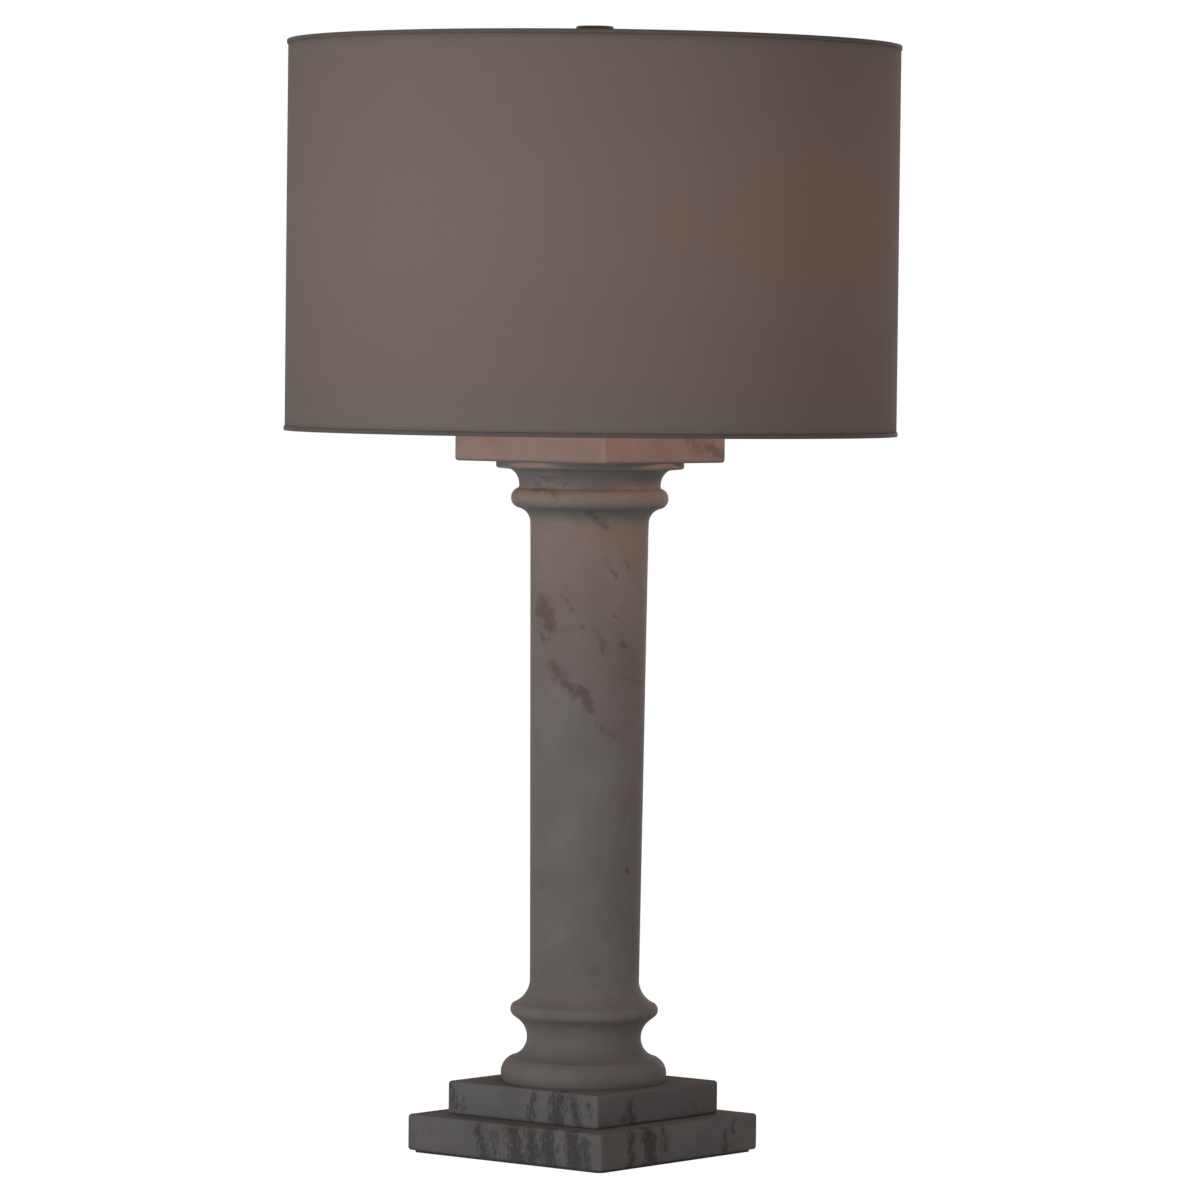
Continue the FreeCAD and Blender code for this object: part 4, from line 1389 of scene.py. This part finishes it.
@dataclass
class DrumShade:
    """The drum: cloth laminated on a stiff liner, bound at both rims, on a wire spider."""

    palette: Palette
    radius: float = 215.62
    cloth: float = 0.38
    bottom: float = 509.45
    top: float = 783.15
    lap: float = 12.0
    lap_rise: float = 0.42
    lap_ramp: float = 2.5
    lap_middle: float = 90.0
    ripples: tuple[Point, ...] = ((0.05, 61.0, 90.0), (0.04, 23.0, -47.0))
    columns: int = 360
    rows: int = 30
    tape_thickness: float = 0.34
    roll: float = 216.45
    edge_low: float = 509.0
    edge_high: float = 783.6
    outer_leg: float = 3.1
    inner_leg: float = 4.4
    inner_radius: float = 210.6
    fold: float = 0.8
    fold_steps: int = 4
    leg_taper: tuple[Span, ...] = ((0.30, 0.0), (0.02, 0.7), (0.0, 1.5))
    slit_half: float = 4.0
    slit_depth: float = 0.5
    slit_angles: tuple[float, ...] = (90.0, 210.0, 330.0)

    def build(self) -> None:
        """Make the cloth and the bindings, and dress the liner and the wires."""
        dress("shade_liner", self.palette.liner)
        for node in ("spider", "top_ring", "bottom_ring"):
            dress(node, self.palette.powder)
        self.cover()
        self.bind("top_binding_tape", "top_binding", self.edge_high, -1)
        self.bind("bottom_binding_tape", "bottom_binding", self.edge_low, 1)

    def cover(self) -> None:
        """Wrap the cloth once round the liner, with its end lapped over its start."""
        around = 2 * math.pi * self.radius
        length = around + self.lap
        steps = self.columns + round(self.columns * self.lap / around)
        first = self.lap_middle - math.degrees(self.lap / self.radius) / 2
        rows = []
        flat = []
        for row in range(self.rows + 1):
            height = self.bottom + (self.top - self.bottom) * row / self.rows
            points = []
            places = []
            for step in range(steps + 1):
                along = length * step / steps
                angle = first + math.degrees(along / self.radius)
                radius = self.cloth_radius(along, around, height)
                points.append(Vector(polar(radius, angle, height)) * MM)
                places.append((along * MM, (height - self.bottom) * MM))
            rows.append(points)
            flat.append(places)
        sheet = Sheet("shade_cloth")
        sheet.add(rows, flat, closed=False)
        cloth = sheet.finish(self.cloth)
        seat(cloth, "shade", "taupe_cloth", self.palette.cloth, "shade_cover")

    def cloth_radius(self, along: float, around: float, height: float) -> float:
        """The outside of the cloth, which climbs over its own start at the lap.

        Args:
            along: Length along the cloth from its start.
            around: The drum's circumference.
            height: Height above the table.

        Returns:
            The radius.
        """
        climb = min(max((along - around + self.lap_ramp) / self.lap_ramp, 0.0), 1.0)
        ripple = sum(size * math.sin(along / run + height / rise) for size, run, rise in self.ripples)
        return self.radius + self.lap_rise * climb + ripple

    def bind(self, name: str, node: str, edge: float, inward: int) -> None:
        """Fold a tape over one rim.

        Args:
            name: The new piece's name.
            node: The CAD piece that it replaces.
            edge: The rim's height.
            inward: 1 where the drum is above the edge, -1 where it is below.
        """
        around = 2 * math.pi * self.roll * MM
        section = self.tape_section()
        lengths = [0.0]
        for before, after in zip(section, section[1:]):
            lengths.append(lengths[-1] + math.dist(before, after))
        rows = []
        flat = []
        for (radius, depth), along in zip(section, lengths):
            height = edge + inward * depth
            angles = [360 * step / self.columns for step in range(self.columns)]
            rows.append([Vector(polar(radius, angle, height)) * MM for angle in angles])
            steps = range(self.columns + 1)
            flat.append([(around * step / self.columns, along * MM) for step in steps])
        if inward > 0:
            rows.reverse()
            flat.reverse()
        sheet = Sheet(name)
        sheet.add(rows, flat, closed=True)
        if inward < 0:
            sheet.cut_away(self.in_slit)
        tape = sheet.finish(self.tape_thickness)
        seat(tape, "shade", "taupe_binding", self.palette.tape, node)

    def tape_section(self) -> Profile:
        """The tape's outside, from the end of its outer leg to the end of its inner one.

        Returns:
            Points as (radius, depth below the rim).
        """
        outer = [(self.roll - back, self.outer_leg - up) for back, up in self.leg_taper]
        over = self.quarter(self.roll - self.fold, 0.0)
        down = self.quarter(self.inner_radius + self.fold, 90.0)
        return outer + over + down + [(self.inner_radius, self.inner_leg)]

    def quarter(self, radius: float, start: float) -> Profile:
        """A rounded corner of the fold.

        Args:
            radius: The radius of its centre, which is as deep below the rim as it is round.
            start: The angle where it starts.

        Returns:
            The points along it.
        """
        points = []
        for step in range(self.fold_steps + 1):
            turn = math.radians(start + 90 * step / self.fold_steps)
            away = self.fold * math.cos(turn)
            points.append((radius + away, self.fold - self.fold * math.sin(turn)))
        return points

    def in_slit(self, middle: Vector) -> bool:
        """Whether a face of the top tape's inner leg is where a spoke passes.

        Args:
            middle: The face's middle, in metres.

        Returns:
            True where the tape is cut away.
        """
        radius = math.hypot(middle.x, middle.y) / MM
        if radius > self.inner_radius + self.slit_depth:
            return False
        angle = math.degrees(math.atan2(middle.y, middle.x)) % 360
        aways = [abs((angle - at + 180) % 360 - 180) for at in self.slit_angles]
        return math.radians(min(aways)) * radius < self.slit_half


@dataclass
class Finial:
    """The flat-topped nut over the shade."""

    palette: Palette

    def build(self) -> None:
        """Dress the finial."""
        dress("finial", self.palette.bronze)


# ---- camera and studio -------------------------------------------------------------------
@dataclass
class PhotoCamera:
    """The photograph's viewpoint: a long lens, level with the bottom of the shade."""

    azimuth: float = 39.17
    distance: float = 4587.0
    height: float = 576.4
    pitch: float = 2.31
    roll: float = 0.64
    yaw: float = 0.10
    lens: float = 195.0
    sensor: float = 36.0
    farthest: float = 100_000.0

    def build(self) -> None:
        """Set the camera up."""
        data = bpy.data.cameras.new("photo_camera")
        data.lens = self.lens
        data.sensor_width = self.sensor
        data.clip_end = self.farthest * MM
        camera = bpy.data.objects.new("photo_camera", data)
        bpy.context.scene.collection.objects.link(camera)
        facing = Matrix.Rotation(math.radians(self.azimuth - self.yaw), 4, "Z")
        tilt = Matrix.Rotation(math.radians(90 - self.pitch), 4, "X")
        roll = Matrix.Rotation(math.radians(self.roll), 4, "Z")
        where = Vector(polar(self.distance, self.azimuth - 90, self.height)) * MM
        camera.matrix_world = Matrix.Translation(where) @ facing @ tilt @ roll
        bpy.context.scene.camera = camera


@dataclass
class SoftBox:
    """A soft lamp that faces the object."""

    name: str
    azimuth: float
    distance: float
    height: float
    target: float
    size: float
    power: float
    colour: Colour = WHITE

    def build(self) -> None:
        """Hang the lamp."""
        data = bpy.data.lights.new(self.name, "AREA")
        data.shape = "DISK"
        data.size = self.size * MM
        data.energy = self.power
        data.color = self.colour
        lamp = bpy.data.objects.new(self.name, data)
        lamp.visible_camera = False
        bpy.context.scene.collection.objects.link(lamp)
        lamp.location = Vector(polar(self.distance, self.azimuth - 90, self.height)) * MM
        towards = Vector((0.0, 0.0, self.target * MM)) - lamp.location
        lamp.rotation_euler = towards.to_track_quat("-Z", "Y").to_euler()


KEY_LAMP = SoftBox(
    "key_lamp", 2.0, 2600.0, 330.0, 600.0, size=900.0, power=36.0, colour=(0.95, 0.98, 1.0)
)
WEAK_LAMPS = (
    SoftBox("fill_lamp", 122.0, 3200.0, 380.0, 560.0, size=1200.0, power=12.0),
    SoftBox("back_lamp", 200.0, 3200.0, 500.0, 500.0, size=1200.0, power=12.0),
)
SHADE_GLOW = {
    "distance": 194.0,
    "height": 556.0,
    "target": 474.0,
    "size": 56.0,
    "power": 0.125,
    "colour": (1.0, 0.56, 0.42),
}


@dataclass
class Studio:
    """White surroundings, a key lamp from the left, a weak fill and the warm light of the shade."""

    overhead: float = 0.04
    horizon: float = 0.84
    tint: Colour = (1.0, 0.955, 0.925)
    glow_lamps: int = 6
    floor_radius: float = 9000.0
    floor_drop: float = 0.2
    floor_sides: int = 96
    floor_colour: Colour = (0.80, 0.80, 0.80)
    floor_white: Colour = (0.90, 0.90, 0.90)
    floor_glow: float = 1.34
    floor_share: float = 0.30

    def build(self) -> None:
        """Set the world, the floor and the lamps up."""
        bpy.context.scene.view_settings.view_transform = "Standard"
        self.make_sky()
        self.make_floor()
        KEY_LAMP.build()
        for step in range(self.glow_lamps):
            SoftBox(f"glow_lamp_{step}", 360 * step / self.glow_lamps, **SHADE_GLOW).build()
        for lamp in WEAK_LAMPS:
            lamp.build()

    @staticmethod
    def seen(nodes: Nodes) -> bpy.types.NodeSocket:
        """1 for rays from the camera or off metal and glass, 0 for light that falls on the object.

        Args:
            nodes: The tree that the nodes are added to.

        Returns:
            The factor.
        """
        path = nodes.node("LightPath")
        either = path.outputs["Is Camera Ray"]
        for kind in ("Is Glossy Ray", "Is Transmission Ray"):
            pair = {0: either, 1: path.outputs[kind]}
            either = nodes.node("Math", {"operation": "MAXIMUM"}, pair).outputs[0]
        return either

    def make_sky(self) -> None:
        """An even light that looks white."""
        world = bpy.data.worlds.new("white_studio")
        bpy.context.scene.world = world
        nodes = Nodes(world)
        up = nodes.node("SeparateXYZ", {}, {0: nodes.node("TexCoord").outputs["Generated"]})
        ends = {"To Min": self.overhead + self.horizon, "To Max": self.overhead}
        fade = nodes.node("MapRange", {}, {"Value": up.outputs["Z"]} | ends).outputs["Result"]
        light = nodes.node("Background", {}, {"Color": self.tint, "Strength": fade})
        white = nodes.node("Background", {}, {"Color": WHITE, "Strength": 1.0})
        sky = nodes.mix(self.seen(nodes), light.outputs[0], white.outputs[0])
        nodes.node("OutputWorld", {}, {"Surface": sky})

    def make_floor(self) -> None:
        """A round floor that looks white, keeps the lamp's shadow and isn't there from below."""
        bpy.ops.object.select_all(action="DESELECT")
        bpy.ops.mesh.primitive_circle_add(
            vertices=self.floor_sides,
            radius=self.floor_radius * MM,
            location=(0.0, 0.0, -self.floor_drop * MM),
            fill_type="NGON",
        )
        floor = bpy.context.active_object
        floor.name = "studio_floor"
        material = bpy.data.materials.new("studio_floor")
        nodes = Nodes(material)
        shadowed = nodes.node("BsdfDiffuse", {}, {"Color": self.floor_white}).outputs[0]
        plain = nodes.node("BsdfDiffuse", {}, {"Color": self.floor_colour}).outputs[0]
        bright = nodes.node("Emission", {}, {"Strength": self.floor_glow}).outputs[0]
        under = nodes.node("BsdfTransparent").outputs[0]
        look = nodes.mix(self.seen(nodes), plain, nodes.mix(self.floor_share, bright, shadowed))
        back = nodes.node("NewGeometry").outputs["Backfacing"]
        nodes.node("OutputMaterial", {}, {"Surface": nodes.mix(back, look, under)})
        floor.data.materials.append(material)


def main() -> None:
    """Build the camera, the studio and every sub-assembly, and report each piece."""
    logging.basicConfig(level=logging.INFO, format="%(message)s")
    PhotoCamera().build()
    Studio().build()
    palette = Palette()
    for part in (StoneBase, ClampHardware, Harp, LampSocket, Bulb, DrumShade, Finial):
        part(palette).build()
        log.info("%s is done", part.__name__)


if __name__ == "__main__":
    main()
